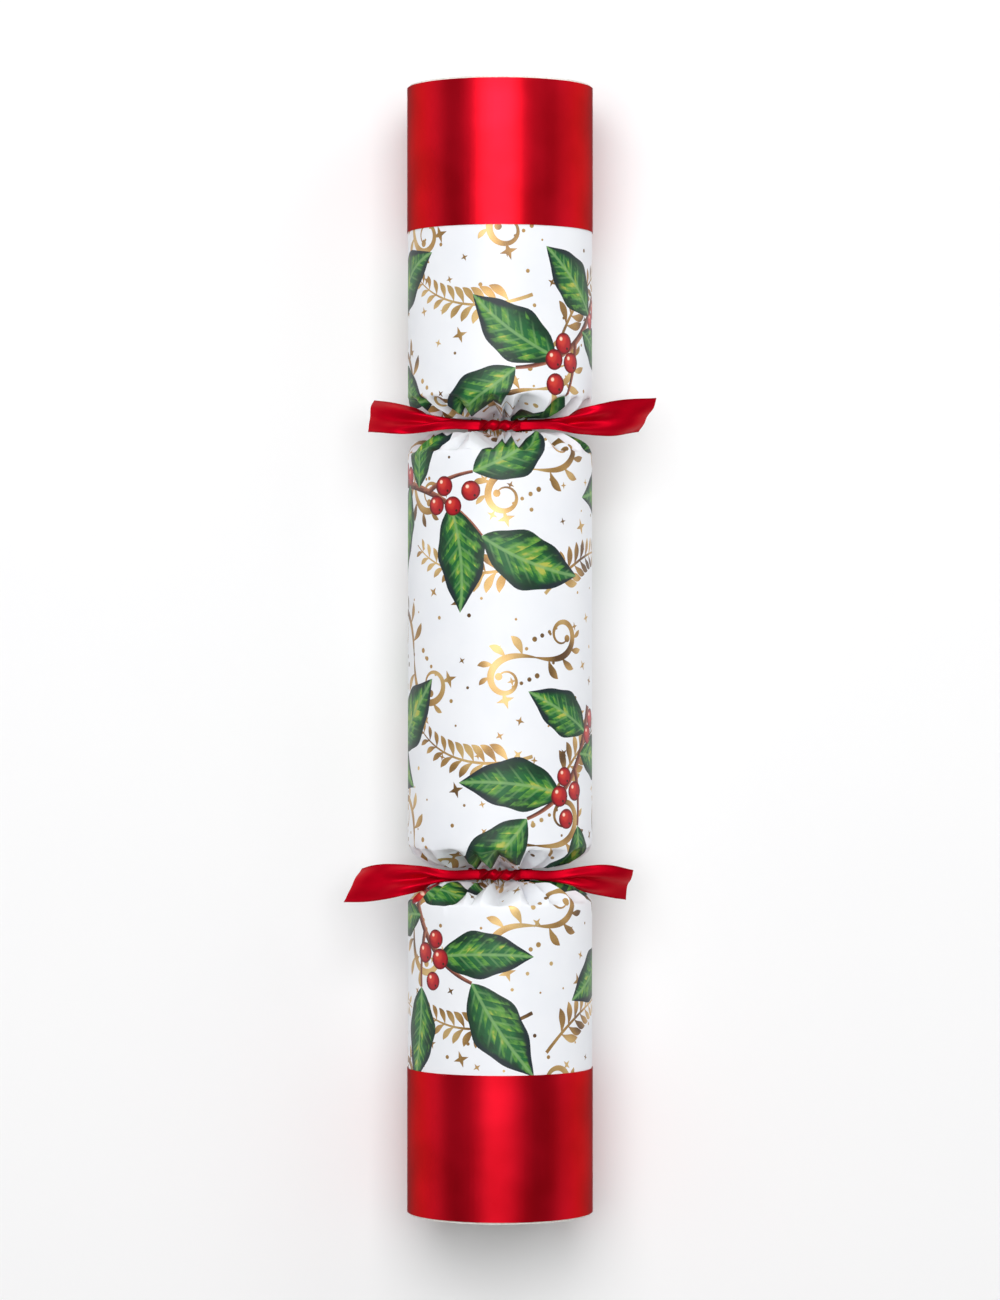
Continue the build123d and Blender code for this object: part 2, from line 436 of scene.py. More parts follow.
@dataclass(frozen=True)
class LeafInkFinish:
    """A painted evergreen leaf: dark rim, green blade, yellow lights between the veins, pale midrib."""

    rim: Colour = paint(20, 36, 42)
    deep: Colour = paint(10, 50, 30)
    green: Colour = paint(20, 98, 46)
    bright: Colour = paint(88, 148, 54)
    yellow: Colour = paint(176, 180, 76)
    vein: Colour = paint(126, 170, 106)
    vein_count: float = 6.5
    vein_slope: float = 1.5
    rough: float = 0.4

    def material(self) -> Material:
        """Mix the material.

        Returns:
            A leaf, painted in layers.
        """
        sheet = ShaderSheet("leaf_ink")
        along, across = sheet.map("Motif")
        tone = sheet.add("ShaderNodeAttribute", {"attribute_name": "tone"}, None, "Fac")
        inside = along.most(0.02)
        reach = sheet.math("SINE", inside ** LEAF_FULLNESS * math.pi).most(0.06)
        edge = abs(across) / reach
        veins = sheet.math("FRACT", along * self.vein_count - abs(across) * self.vein_slope)
        wash = sheet.noise((along * 5.0 + tone * 40.0, across * 2.2, tone), 1.0, 3.0, 0.62)
        daub = sheet.noise((along * 11.0 - abs(across) * 4.0, across * 3.0, tone * 9.0), 1.0, 2.0)
        body = sheet.mix((1.0 - edge + (wash - 0.5) * 1.6).rise(0.1, 0.75), self.deep, self.green)
        lights = wash * 0.7 + daub * 0.6 + veins * 0.18 - edge * 0.22 + across * 0.08
        lit = sheet.mix(lights.rise(0.62, 0.8), body, self.bright)
        lit = sheet.mix(lights.rise(0.78, 0.92), lit, self.yellow)
        rib = 1.0 - abs(across).rise(0.025, 0.085)
        side_veins = (1.0 - abs(veins - 0.5).rise(0.03, 0.13)) * (1.0 - edge.rise(0.3, 0.85)) * 0.55
        veined = sheet.mix(rib.most(side_veins) * 0.7, lit, self.vein)
        tip = along.rise(0.35, 1.0) * 0.45 - 0.1
        shaded = sheet.mix((edge + tip + (wash - 0.5) * 0.9).rise(0.72, 1.05), veined, self.rim)
        return sheet.dress(Base_Color=shaded, Roughness=self.rough + wash * 0.14, Specular_IOR_Level=0.4)


@dataclass(frozen=True)
class BerryInkFinish:
    """A painted berry: red with an orange flank, dark rim, white light and a small dark eye."""

    dark: Colour = paint(92, 8, 18)
    red: Colour = paint(170, 16, 28)
    orange: Colour = paint(212, 62, 46)
    light: Colour = paint(250, 214, 190)
    eye: Colour = paint(52, 18, 14)
    flank_place: Pair = (-0.2, 0.25)
    glint_place: Pair = (-0.34, 0.42)
    eye_place: Pair = (0.42, -0.46)
    rough: float = 0.36

    def material(self) -> Material:
        """Mix the material.

        Returns:
            A round berry.
        """
        sheet = ShaderSheet("berry_ink")
        across, up = sheet.map("Motif")
        wash = sheet.noise((across * 1.6, up * 1.6, 2.0), 1.4, 2.0, 0.6)

        def far(from_across: float, from_up: float) -> Socket:
            """Return how far the surface is from a place on the berry."""
            gap = (across - from_across) ** 2.0 + (up - from_up) ** 2.0
            return sheet.math("SQRT", gap)

        body = sheet.mix((far(0.0, 0.0) + (wash - 0.5) * 0.3).rise(0.62, 1.0), self.red, self.dark)
        flank = (1.0 - (far(*self.flank_place) + (wash - 0.5) * 0.4).rise(0.15, 0.75)) * 0.8
        warm = sheet.mix(flank, body, self.orange)
        glint = sheet.mix(1.0 - far(*self.glint_place).rise(0.1, 0.24), warm, self.light)
        eyed = sheet.mix(1.0 - far(*self.eye_place).rise(0.08, 0.17), glint, self.eye)
        return sheet.dress(Base_Color=eyed, Roughness=self.rough + wash * 0.1, Specular_IOR_Level=0.4)


@dataclass(frozen=True)
class FoilFinish:
    """Satin red metallic foil with hair-fine streaks along it."""

    colour: Colour = paint(214, 12, 36)
    deep: Colour = paint(190, 4, 24)
    glance: Colour = paint(112, 3, 16)
    rough: float = 0.38
    streak_depth: float = 0.02

    def material(self) -> Material:
        """Mix the material.

        Returns:
            Red metal with streaks along it.
        """
        sheet = ShaderSheet("red_foil")
        along, around = sheet.map("Sheet")
        streak = sheet.noise((along * 0.02, around * 1.4, 0.0), 1.0, 4.0, 0.6)
        cloud = sheet.noise((along, around, 5.0), 0.05, 2.0)
        colour = sheet.mix(cloud.rise(0.3, 0.7), self.deep, self.colour)
        rough = self.rough + (streak - 0.5) * 0.1 + (cloud - 0.5) * 0.06
        return sheet.dress(Base_Color=colour, Metallic=1.0, Roughness=rough, Specular_Tint=self.glance,
                           Normal=sheet.bump(streak, self.streak_depth, 0.35),
                           Coat_Weight=0.1, Coat_Roughness=0.3)


@dataclass(frozen=True)
class SatinFinish:
    """Red satin ribbon: smooth floats across fine lengthwise threads, with a corded edge."""

    colour: Colour = paint(190, 0, 28)
    deep: Colour = paint(140, 0, 16)
    gleam: Colour = paint(255, 60, 80)
    threads_per_mm: float = 3.2
    floats_per_mm: float = 1.1
    float_slip: float = 0.37
    half_width: float = 5.0
    cord_start: float = 0.45
    cord_stop: float = 0.3
    metal: float = 0.45
    rough: float = 0.4
    weave_depth: float = 0.03

    def material(self) -> Material:
        """Mix the material.

        Returns:
            Woven satin that follows the ribbon.
        """
        sheet = ShaderSheet("red_satin")
        across, along = sheet.map("Sheet")
        warp = sheet.math("SINE", across * (self.threads_per_mm * 2.0 * math.pi))
        slip = sheet.math("FLOOR", across * self.threads_per_mm) * self.float_slip
        float_wave = sheet.math("SINE", (along * self.floats_per_mm + slip) * (2.0 * math.pi))
        cloud = sheet.noise((across * 0.3, along * 0.1, 0.0), 1.0, 2.0)
        edge = abs(across).rise(self.half_width - self.cord_start, self.half_width - self.cord_stop)
        colour = sheet.mix(cloud.rise(0.3, 0.75) * 0.4, self.colour, self.deep)
        selvedge = sheet.mix(edge * 0.6, colour, self.deep)
        height = warp * 0.25 + float_wave * 0.12 + edge * 0.9 + 0.5
        rough = self.rough + (cloud - 0.5) * 0.06 + edge * 0.15
        return sheet.dress(Base_Color=selvedge, Metallic=self.metal, Roughness=rough,
                           Normal=sheet.bump(height, self.weave_depth, 0.35), Sheen_Weight=0.04,
                           Sheen_Roughness=0.35, Sheen_Tint=self.gleam, Specular_Tint=self.gleam,
                           Specular_IOR_Level=0.4)


@dataclass(frozen=True)
class CardFinish:
    """Rolled card: fibrous, with spiral ply seams on its walls and plies on its cut edge."""

    name: str
    colour: Colour
    fibre: Colour
    axis_height: float
    seam_pitch: float = 46.0
    ply: float = 0.2
    rough: float = 0.78
    fibre_depth: float = 0.05

    def material(self) -> Material:
        """Mix the material.

        Returns:
            Pale card.
        """
        sheet = ShaderSheet(self.name)
        x, y, z = sheet.place()
        height = z - self.axis_height
        turn = sheet.math("ARCTAN2", height, y) / (2.0 * math.pi)
        radius = sheet.math("SQRT", y * y + height * height)
        seam = abs(sheet.math("FRACT", x / self.seam_pitch + turn) - 0.5)
        line = 1.0 - seam.rise(0.004, 0.012)
        plies = abs(sheet.math("FRACT", radius / self.ply) - 0.5)
        flecks = sheet.noise((x, y, z), 0.9, 4.0, 0.65)
        fuzz = sheet.noise((x, y, z), 6.0, 2.0)
        colour = sheet.mix(flecks.rise(0.4, 0.72), self.colour, self.fibre)
        lined = sheet.mix(line * 0.5, colour, self.fibre)
        worn = sheet.mix(plies.rise(0.3, 0.48) * 0.25, lined, self.fibre)
        bump = sheet.bump(fuzz * 0.5 + flecks * 0.3 - line * 0.6 + 0.4, self.fibre_depth, 0.5)
        return sheet.dress(Base_Color=worn, Roughness=self.rough + (fuzz - 0.5) * 0.2, Normal=bump,
                           Specular_IOR_Level=0.25)


@dataclass(frozen=True)
class SlipFinish:
    """Thin plain stock, such as the snap's card or the rolled slip, with fibres along it and soft creases."""

    name: str
    colour: Colour
    fibre: Colour
    rough: float
    fibre_depth: float = 0.03

    def material(self) -> Material:
        """Mix the material.

        Returns:
            Plain stock with its fibres along X.
        """
        sheet = ShaderSheet(self.name)
        x, y, z = sheet.place()
        fibres = sheet.noise((x * 0.25, y * 2.0, z * 2.0), 1.0, 4.0, 0.65)
        cloud = sheet.noise((x, y, z), 0.18, 2.0)
        colour = sheet.mix((fibres * 0.6 + cloud * 0.4).rise(0.4, 0.68), self.colour, self.fibre)
        return sheet.dress(Base_Color=colour, Roughness=self.rough + (fibres - 0.5) * 0.2,
                           Normal=sheet.bump(fibres, self.fibre_depth, 0.5), Specular_IOR_Level=0.3)


@dataclass(frozen=True)
class TissueFinish:
    """Crisp tissue: crinkled, with fine lines from its making and a little light through it."""

    colour: Colour = paint(44, 132, 74)
    pale: Colour = paint(88, 168, 108)
    line_rate: float = 9.0
    crinkle_scale: float = 0.35
    crinkle_depth: float = 0.15
    rough: float = 0.6

    def material(self) -> Material:
        """Mix the material.

        Returns:
            Green tissue, paler along its crinkles.
        """
        sheet = ShaderSheet("crown_tissue")
        across, along = sheet.map("Sheet")
        crinkle = sheet.noise((across, along, 0.0), self.crinkle_scale, 4.0, 0.6)
        lines = sheet.math("SINE", across * self.line_rate) * 0.5 + 0.5
        colour = sheet.mix(crinkle.rise(0.35, 0.7), self.colour, self.pale)
        return sheet.dress(Base_Color=colour, Roughness=self.rough + (crinkle - 0.5) * 0.2,
                           Normal=sheet.bump(crinkle * 0.8 + lines * 0.1, self.crinkle_depth, 0.5))


@dataclass(frozen=True)
class WoodFinish:
    """Turned beech with growth lines, small flecks and painted rings round its axis."""

    name: str
    axis_y: float
    axis_z: float
    rings: tuple[tuple[float, float, Colour], ...] = ()
    pale: Colour = paint(222, 186, 138)
    dark: Colour = paint(178, 132, 84)
    growth_rate: float = 4.2
    turning_rate: float = 14.0
    ring_edge: float = 0.08
    rough: float = 0.46
    grain_depth: float = 0.03
    lacquer: float = 0.25

    def material(self) -> Material:
        """Mix the material.

        Returns:
            Lacquered wood.
        """
        sheet = ShaderSheet(self.name)
        x, y, z = sheet.place()
        across = y - self.axis_y
        height = z - self.axis_z
        radius = sheet.math("SQRT", across * across + height * height)
        warp = sheet.noise((x * 0.1, y * 0.5, z * 0.5), 1.0, 2.0)
        growth = sheet.math("SINE", (height + warp * 2.5) * self.growth_rate) * 0.5 + 0.5
        flecks = sheet.noise((x * 0.5, y * 3.0, z * 3.0), 1.0, 3.0, 0.6)
        wood = sheet.mix(growth * 0.55 + (flecks - 0.5) * 0.9, self.pale, self.dark)
        rough = self.rough + (flecks - 0.5) * 0.2
        for low, high, colour in self.rings:
            inner = radius.rise(low - self.ring_edge, low + self.ring_edge)
            band = inner * (1.0 - radius.rise(high - self.ring_edge, high + self.ring_edge))
            wood = sheet.mix(band * (0.82 + flecks * 0.2), wood, colour)
        tool_marks = sheet.math("SINE", radius * self.turning_rate) * 0.5 + 0.5
        bump = sheet.bump(tool_marks * 0.4 + flecks * 0.5, self.grain_depth, 0.5)
        return sheet.dress(Base_Color=wood, Roughness=rough, Normal=bump, Coat_Weight=self.lacquer)


@dataclass(frozen=True)
class GritFinish:
    """A dab of gritty coat, with darker and paler grains."""

    name: str
    colour: Colour
    grain: Colour
    speck_scale: float = 4.5
    speck_depth: float = 0.06
    rough: float = 0.7

    def material(self) -> Material:
        """Mix the material.

        Returns:
            A rough coat of two colours.
        """
        sheet = ShaderSheet(self.name)
        x, y, z = sheet.place()
        specks = sheet.noise((x, y, z), self.speck_scale, 3.0, 0.7)
        colour = sheet.mix(specks.rise(0.42, 0.62), self.colour, self.grain)
        return sheet.dress(Base_Color=colour, Roughness=self.rough + (specks - 0.5) * 0.4,
                           Normal=sheet.bump(specks, self.speck_depth, 0.7))


@dataclass(frozen=True)
class FloorFinish:
    """A pale matt floor with the faintest unevenness, which stays pale where the lamps don't reach."""

    colour: Colour = paint(248, 248, 248)
    shade: Colour = paint(245, 245, 246)
    lit_radius: float = 250.0
    dim_radius: float = 1900.0
    glow: float = 0.6
    rough: float = 0.85

    def material(self) -> Material:
        """Mix the material.

        Returns:
            A matt white that glows a little far out.
        """
        sheet = ShaderSheet("pale_floor")
        x, y, z = sheet.place()
        cloud = sheet.noise((x, y, z), 0.01, 2.0)
        colour = sheet.mix(cloud, self.colour, self.shade)
        seen = sheet.add("ShaderNodeLightPath", None, None, "Is Camera Ray")
        for ray in ("Is Glossy Ray", "Is Transmission Ray"):
            seen = seen.most(sheet.add("ShaderNodeLightPath", None, None, ray))
        far = sheet.math("SQRT", x * x + y * y).rise(self.lit_radius, self.dim_radius)
        glow = far * seen * self.glow
        pale = sheet.add("ShaderNodeCombineColor", None, {0: glow, 1: glow, 2: glow})
        rough = self.rough + (cloud - 0.5) * 0.1
        return sheet.dress(Base_Color=colour, Roughness=rough, Specular_IOR_Level=0.1,
                           Emission_Color=pale, Emission_Strength=1.0)


@dataclass(frozen=True)
class CrackerSizes:
    """The cracker's own sizes in millimetres, read from the frame."""

    axis_height: float
    foil_radius: float
    foil_start: float
    foil_stop: float
    paper_radius: float
    paper_stop: float
    barrel_end: float
    end_start: float

    @classmethod
    def from_frame(cls) -> "CrackerSizes":
        """Read the sizes off the nodes' boxes.

        Returns:
            The sizes, in which the right end stands for both.
        """
        foil_low, foil_high = node_box("right_foil_band")
        wrap_low, wrap_high = node_box("barrel_wrapper")
        return cls(
            axis_height=(foil_low.z + foil_high.z) / 2.0,
            foil_radius=(foil_high.z - foil_low.z) / 2.0,
            foil_start=foil_low.x,
            foil_stop=foil_high.x,
            paper_radius=(wrap_high.z - wrap_low.z) / 2.0,
            paper_stop=node_box("right_wrapper")[1].x,
            barrel_end=node_box("barrel_tube")[1].x,
            end_start=node_box("right_end_tube")[0].x,
        )

    @property
    def girth(self) -> float:
        """The way once round the paper."""
        return 2.0 * math.pi * self.paper_radius

    @property
    def waist(self) -> float:
        """Where the necks are narrowest, either side of the middle."""
        return (self.barrel_end + self.end_start) / 2.0


def node_box(node: str) -> tuple[Vector, Vector]:
    """Return the lowest and highest corner of a CAD node in millimetres."""
    low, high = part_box(node)
    return low / MM, high / MM


def mesh_object(
    name: str, points: Iterable[Vector], faces: Sequence[Sequence[int]], materials: Sequence[Material]
) -> Piece:
    """Make a smooth mesh object.

    Args:
        name: The piece's name.
        points: The vertices in millimetres.
        faces: The corners of each face, turning left as seen from outside.
        materials: The material slots.

    Returns:
        The object, at the origin.
    """
    mesh = bpy.data.meshes.new(name)
    mesh.from_pydata([point * MM for point in points], [], faces)
    for material in materials:
        mesh.materials.append(material)
    mesh.shade_smooth()
    return put_in_scene(name, mesh)


def add_map(piece: Piece, name: str, places: Sequence[Sequence[float]]) -> None:
    """Give a mesh a UV map with one place for each face corner."""
    layer = piece.data.uv_layers.new(name=name)
    layer.data.foreach_set("uv", [value for place in places for value in place])


def grid_faces(rows: int, columns: int, turned: bool = False) -> list[tuple[int, ...]]:
    """Return the faces of a grid of points that is laid out row by row.

    Args:
        rows: How many rows of faces there are.
        columns: How many faces are in a row.
        turned: Whether they look the other way.

    Returns:
        The corners of each face.
    """
    faces = []
    for row in range(rows):
        for column in range(columns):
            corner = row * (columns + 1) + column
            face = (corner, corner + 1, corner + columns + 2, corner + columns + 1)
            faces.append(face[::-1] if turned else face)
    return faces


def thicken(piece: Piece, wall: float, offset: float, back_slot: int = 0) -> None:
    """Give a sheet its thickness in millimetres.

    Args:
        piece: The open sheet, whose border becomes a sharp cut edge.
        wall: The thickness.
        offset: -1 if the sheet is its outer face, 0 if it is its middle.
        back_slot: How many slots on the back's material lies, up to the last.
    """
    uses = Counter(key for polygon in piece.data.polygons for key in polygon.edge_keys)
    for edge in piece.data.edges:
        if uses[edge.key] == 1:
            edge.use_edge_sharp = True
    solid = piece.modifiers.new("Wall", "SOLIDIFY")
    solid.thickness = wall * MM
    solid.offset = offset
    solid.material_offset = back_slot


def settle(piece: Piece, body: str, node: str, slot: str) -> None:
    """Put a finished piece in its place in the frame and report it.

    Args:
        piece: The piece.
        body: The body that it rides on.
        node: The CAD node that it stands for.
        slot: Its finish slot; not used.
    """
    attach(piece, body)
    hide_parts(node)
    log.info("%s: %d faces for %s", piece.name, len(piece.data.polygons), node)


def run_lengths(points: Sequence[Vector]) -> list[float]:
    """Return the way so far at each point of a line."""
    steps = ((second - first).length for first, second in zip(points, points[1:]))
    return list(accumulate(steps, initial=0.0))


def bend_at(pulls: Sequence[Vector], share: float) -> Vector:
    """Find a point on a smooth bend.

    Args:
        pulls: Its start, the two points that it leans towards and its stop.
        share: How far along it the point is, 0 to 1.

    Returns:
        The point.
    """
    rest = 1.0 - share
    weights = (rest ** 3, 3 * rest * rest * share, 3 * rest * share * share, share ** 3)
    return sum((pull * weight for pull, weight in zip(pulls, weights)), pulls[0] * 0.0)


@dataclass(frozen=True)
class Motif:
    """One printed shape on the flat sheet. Its points are complex: round the cracker, and along it."""

    ink: Ink
    outline: list[complex]
    tone: float
    local: Callable[[complex], Pair]


def leaf(base: complex, heading: float, length: float, width: float, bow: float, tone: float) -> Motif:
    """Draw a smooth pointed leaf.

    Args:
        base: Where its stalk joins.
        heading: The way that it points, in radians from the round direction.
        length: From base to tip.
        width: Across the widest part.
        bow: How far its midrib bends aside, as a share of the half width.
        tone: A random value for its shading.

    Returns:
        The leaf, with local values of 0 to 1 along it and -1 to 1 across.
    """
    turn = cmath.rect(1.0, heading)
    half = width / 2.0
    steps = 24
    wave = 0.05
    wave_rate = 19.0

    def bend(share: float) -> float:
        """Return how far aside the midrib lies there."""
        return bow * 4.0 * share * (1.0 - share)

    def spot(share: float, side: float) -> complex:
        """Return a point of the leaf's edge on the side of that sign."""
        reach = math.sin(math.pi * share ** LEAF_FULLNESS) * (1.0 + wave * math.sin(share * wave_rate + side))
        return base + turn * complex(length * share, half * (side * reach + bend(share)))

    def local(point: complex) -> Pair:
        """Return how far along the leaf a point of the sheet is, and how far across it."""
        place = (point - base) / turn
        return place.real / length, place.imag / half - bend(min(1.0, max(0.0, place.real / length)))

    lower = [spot(step / steps, -1.0) for step in range(steps + 1)]
    upper = [spot(step / steps, 1.0) for step in range(steps - 1, 0, -1)]
    return Motif(Ink.LEAF, lower + upper, tone, local)


def disc(ink: Ink, middle: complex, radius: float, tone: float, corners: int) -> Motif:
    """Draw a round dot.

    Args:
        ink: What it is printed in.
        middle: Its middle.
        radius: Its radius.
        tone: A random value for its shading.
        corners: How many corners its outline has.

    Returns:
        The dot, with local values of -1 to 1 both ways.
    """
    outline = [middle + cmath.rect(radius, 2.0 * math.pi * k / corners) for k in range(corners)]

    def local(point: complex) -> Pair:
        """Return a point's place on the dot, both ways."""
        place = (point - middle) / radius
        return place.real, place.imag

    return Motif(ink, outline, tone, local)


def sparkle(middle: complex, radius: float, turn: float) -> Motif:
    """Draw a small gold star of four long points.

    Args:
        middle: Its middle.
        radius: From the middle to a point.
        turn: How far it is turned, in radians.

    Returns:
        The star, whose local values are nought.
    """
    rays = 8
    dip = 0.34
    outline = []
    for ray in range(rays):
        reach = radius if ray % 2 == 0 else radius * dip
        outline.append(middle + cmath.rect(reach, turn + 2.0 * math.pi * ray / rays))
    return Motif(Ink.GOLD, outline, GOLD_TONE, lambda point: (0.0, 0.0))


def stroke(ink: Ink, line: Sequence[complex], half_widths: Sequence[float], tone: float) -> Motif:
    """Draw a brush stroke of changing width.

    Args:
        ink: What it is printed in.
        line: Its middle line.
        half_widths: Half its width at each point of the line.
        tone: A random value for its shading.

    Returns:
        The stroke, with local values of its length so far and -1 to 1 across.
    """
    last = len(line) - 1
    sides = []
    for k, half_width in enumerate(half_widths):
        way = line[min(k + 1, last)] - line[max(k - 1, 0)]
        sides.append(way / abs(way) * 1j * half_width)
    left = [point + side for point, side in zip(line, sides)]
    right = [point - side for point, side in zip(line, sides)]

    def local(point: complex) -> Pair:
        """Measure a point of the sheet.

        Args:
            point: The point.

        Returns:
            How far along the stroke it is, and its share across.
        """
        nearest = min(range(last + 1), key=lambda k: abs(point - line[k]))
        across = (point - line[nearest]) / (sides[nearest] / half_widths[nearest])
        along = sum(abs(line[k + 1] - line[k]) for k in range(nearest))
        return along, across.real / half_widths[nearest]

    return Motif(ink, right + left[::-1], tone, local)


def curve(start: complex, pull: complex, stop: complex, steps: int) -> list[complex]:
    """Return points on a curve from start to stop that leans towards pull."""
    shares = [step / steps for step in range(steps + 1)]
    return [start * (1 - s) ** 2 + pull * 2 * s * (1 - s) + stop * s * s for s in shares]


def blade(root: complex, way: complex, reach: float) -> Motif:
    """Draw one slim gold leaf of a spray, bending as it goes.

    Args:
        root: Where it joins its stem.
        way: The way that it points, with the spray's scale as its size.
        reach: From root to tip.

    Returns:
        The leaf.
    """
    steps = 10
    tip_half = 0.06
    fullness = 0.16
    widest = 1.3
    pull = cmath.rect(reach * 0.6, -0.35)
    line = curve(root, root + way * pull, root + way * reach, steps)
    shares = [(k / steps) ** widest for k in range(steps + 1)]
    widths = [tip_half + fullness * reach * math.sin(math.pi * share) for share in shares]
    return stroke(Ink.GOLD, line, widths, GOLD_TONE)


@dataclass(frozen=True)
class GoldScroll:
    """A gold S of two curls, with slim leaves on its back, beads and a star, in millimetres."""

    headings: Pair = (0.5, 2.1)
    heading_spread: float = 0.25
    scales: Pair = (0.92, 1.08)
    length: float = 36.0
    steps: int = 52
    start_turn: float = -24.0
    whole_turn: float = 440.0
    turn_growth: float = 1.9
    thin: float = 0.2
    swell: float = 0.75
    eye: float = 1.0
    eye_corners: int = 12
    leaves: tuple[tuple[int, float], ...] = ((6, 6.6), (13, 6.0), (19, 5.0), (24, 4.0))
    leaf_lean: float = -58.0
    beads: int = 4
    bead_start: complex = complex(1.0, 5.2)
    bead_step: complex = complex(2.6, 0.4)
    bead_radius: float = 0.72
    bead_shrink: float = 0.1
    bead_corners: int = 10
    star_place: complex = complex(-12.0, -9.5)
    star_radius: float = 2.5

    def draw(self, middle: complex, rng: random.Random, upright: bool) -> list[Motif]:
        """Draw one scroll.

        Args:
            middle: Where its curls meet.
            rng: Its random source.
            upright: Which of the headings it takes.

        Returns:
            Its strokes, dots and star.
        """
        heading = self.headings[0 if upright else 1]
        scale = rng.uniform(*self.scales)
        turn = cmath.rect(scale, heading + rng.uniform(-self.heading_spread, self.heading_spread))
        lean = cmath.rect(1.0, math.radians(self.leaf_lean))
        shares = [k / self.steps for k in range(self.steps + 1)]
        widths = [self.thin + self.swell * math.sin(math.pi * share ** 0.7) ** 1.5 for share in shares]
        drawn = []
        for way in (turn, -turn):
            spot = complex(0.0, 0.0)
            line = []
            ways = []
            for share in shares:
                degrees = self.start_turn + self.whole_turn * share ** self.turn_growth
                line.append(middle + spot * way)
                ways.append(cmath.rect(1.0, math.radians(degrees)))
                spot += ways[-1] * self.length / self.steps
            drawn.append(stroke(Ink.GOLD, line, widths, GOLD_TONE))
            drawn.append(disc(Ink.GOLD, line[-1], self.eye, GOLD_TONE, self.eye_corners))
            drawn += [blade(line[k], ways[k] * lean * way, reach) for k, reach in self.leaves]
            for bead in range(self.beads):
                place = middle + way * (self.bead_start + self.bead_step * bead)
                radius = self.bead_radius - self.bead_shrink * bead
                drawn.append(disc(Ink.GOLD, place, radius, GOLD_TONE, self.bead_corners))
        drawn.append(sparkle(middle + turn * self.star_place, self.star_radius, STAR_TURN))
        return drawn


@dataclass(frozen=True)
class GoldFrond:
    """A gold stem with slim leaves to both sides and a star over it, in millimetres."""

    heading: float = 0.35
    heading_spread: float = 0.2
    stem: tuple[complex, ...] = (complex(-18.0, -5.0), complex(-1.0, 7.5), complex(18.0, -1.0))
    steps: int = 24
    stem_half: float = 0.5
    stem_taper: float = 0.35
    first_leaf: int = 4
    leaf_step: int = 2
    leaf_lean: float = 52.0
    leaf_reach: float = 7.6
    leaf_shrink: float = 4.4
    star_stray: float = 3.0
    star_height: float = 10.5
    star_radius: float = 2.3

    def draw(self, middle: complex, rng: random.Random, upright: bool) -> list[Motif]:
        """Draw one frond.

        Args:
            middle: The middle of its place.
            rng: Its random source.
            upright: Whether it isn't mirrored.

        Returns:
            Its strokes and star.
        """
        heading = self.heading if upright else math.pi - self.heading
        turn = cmath.rect(1.0, heading + rng.uniform(-self.heading_spread, self.heading_spread))
        stem = curve(*self.stem, self.steps)
        widths = [self.stem_half - self.stem_taper * k / self.steps for k in range(self.steps + 1)]
        drawn = [stroke(Ink.GOLD, [middle + turn * point for point in stem], widths, GOLD_TONE)]
        for k in range(self.first_leaf, self.steps, self.leaf_step):
            way = stem[k] - stem[k - 1]
            way *= turn / abs(way)
            reach = self.leaf_reach - self.leaf_shrink * k / self.steps
            for lean in (-self.leaf_lean, self.leaf_lean):
                aside = way * cmath.rect(1.0, math.radians(lean))
                drawn.append(blade(middle + turn * stem[k], aside, reach))
        star = complex(rng.uniform(-self.star_stray, self.star_stray), self.star_height)
        drawn.append(sparkle(middle + turn * star, self.star_radius, STAR_TURN))
        return drawn


@dataclass(frozen=True)
class GoldDust:
    """The gold dust between the larger motifs: dots and small stars, in millimetres."""

    stray: float = 3.0
    dot_share: float = 0.6
    dot_radii: Pair = (0.3, 0.6)
    dot_corners: int = 8
    star_radii: Pair = (1.0, 1.6)
    star_turn: float = 1.5

    def draw(self, middle: complex, rng: random.Random) -> Motif:
        """Draw one speck.

        Args:
            middle: The middle of its place.
            rng: Its random source.

        Returns:
            A dot or a star.
        """
        spot = middle + complex(rng.uniform(-self.stray, self.stray), rng.uniform(-self.stray, self.stray))
        if rng.random() < self.dot_share:
            return disc(Ink.GOLD, spot, rng.uniform(*self.dot_radii), GOLD_TONE, self.dot_corners)
        return sparkle(spot, rng.uniform(*self.star_radii), rng.uniform(0.0, self.star_turn))


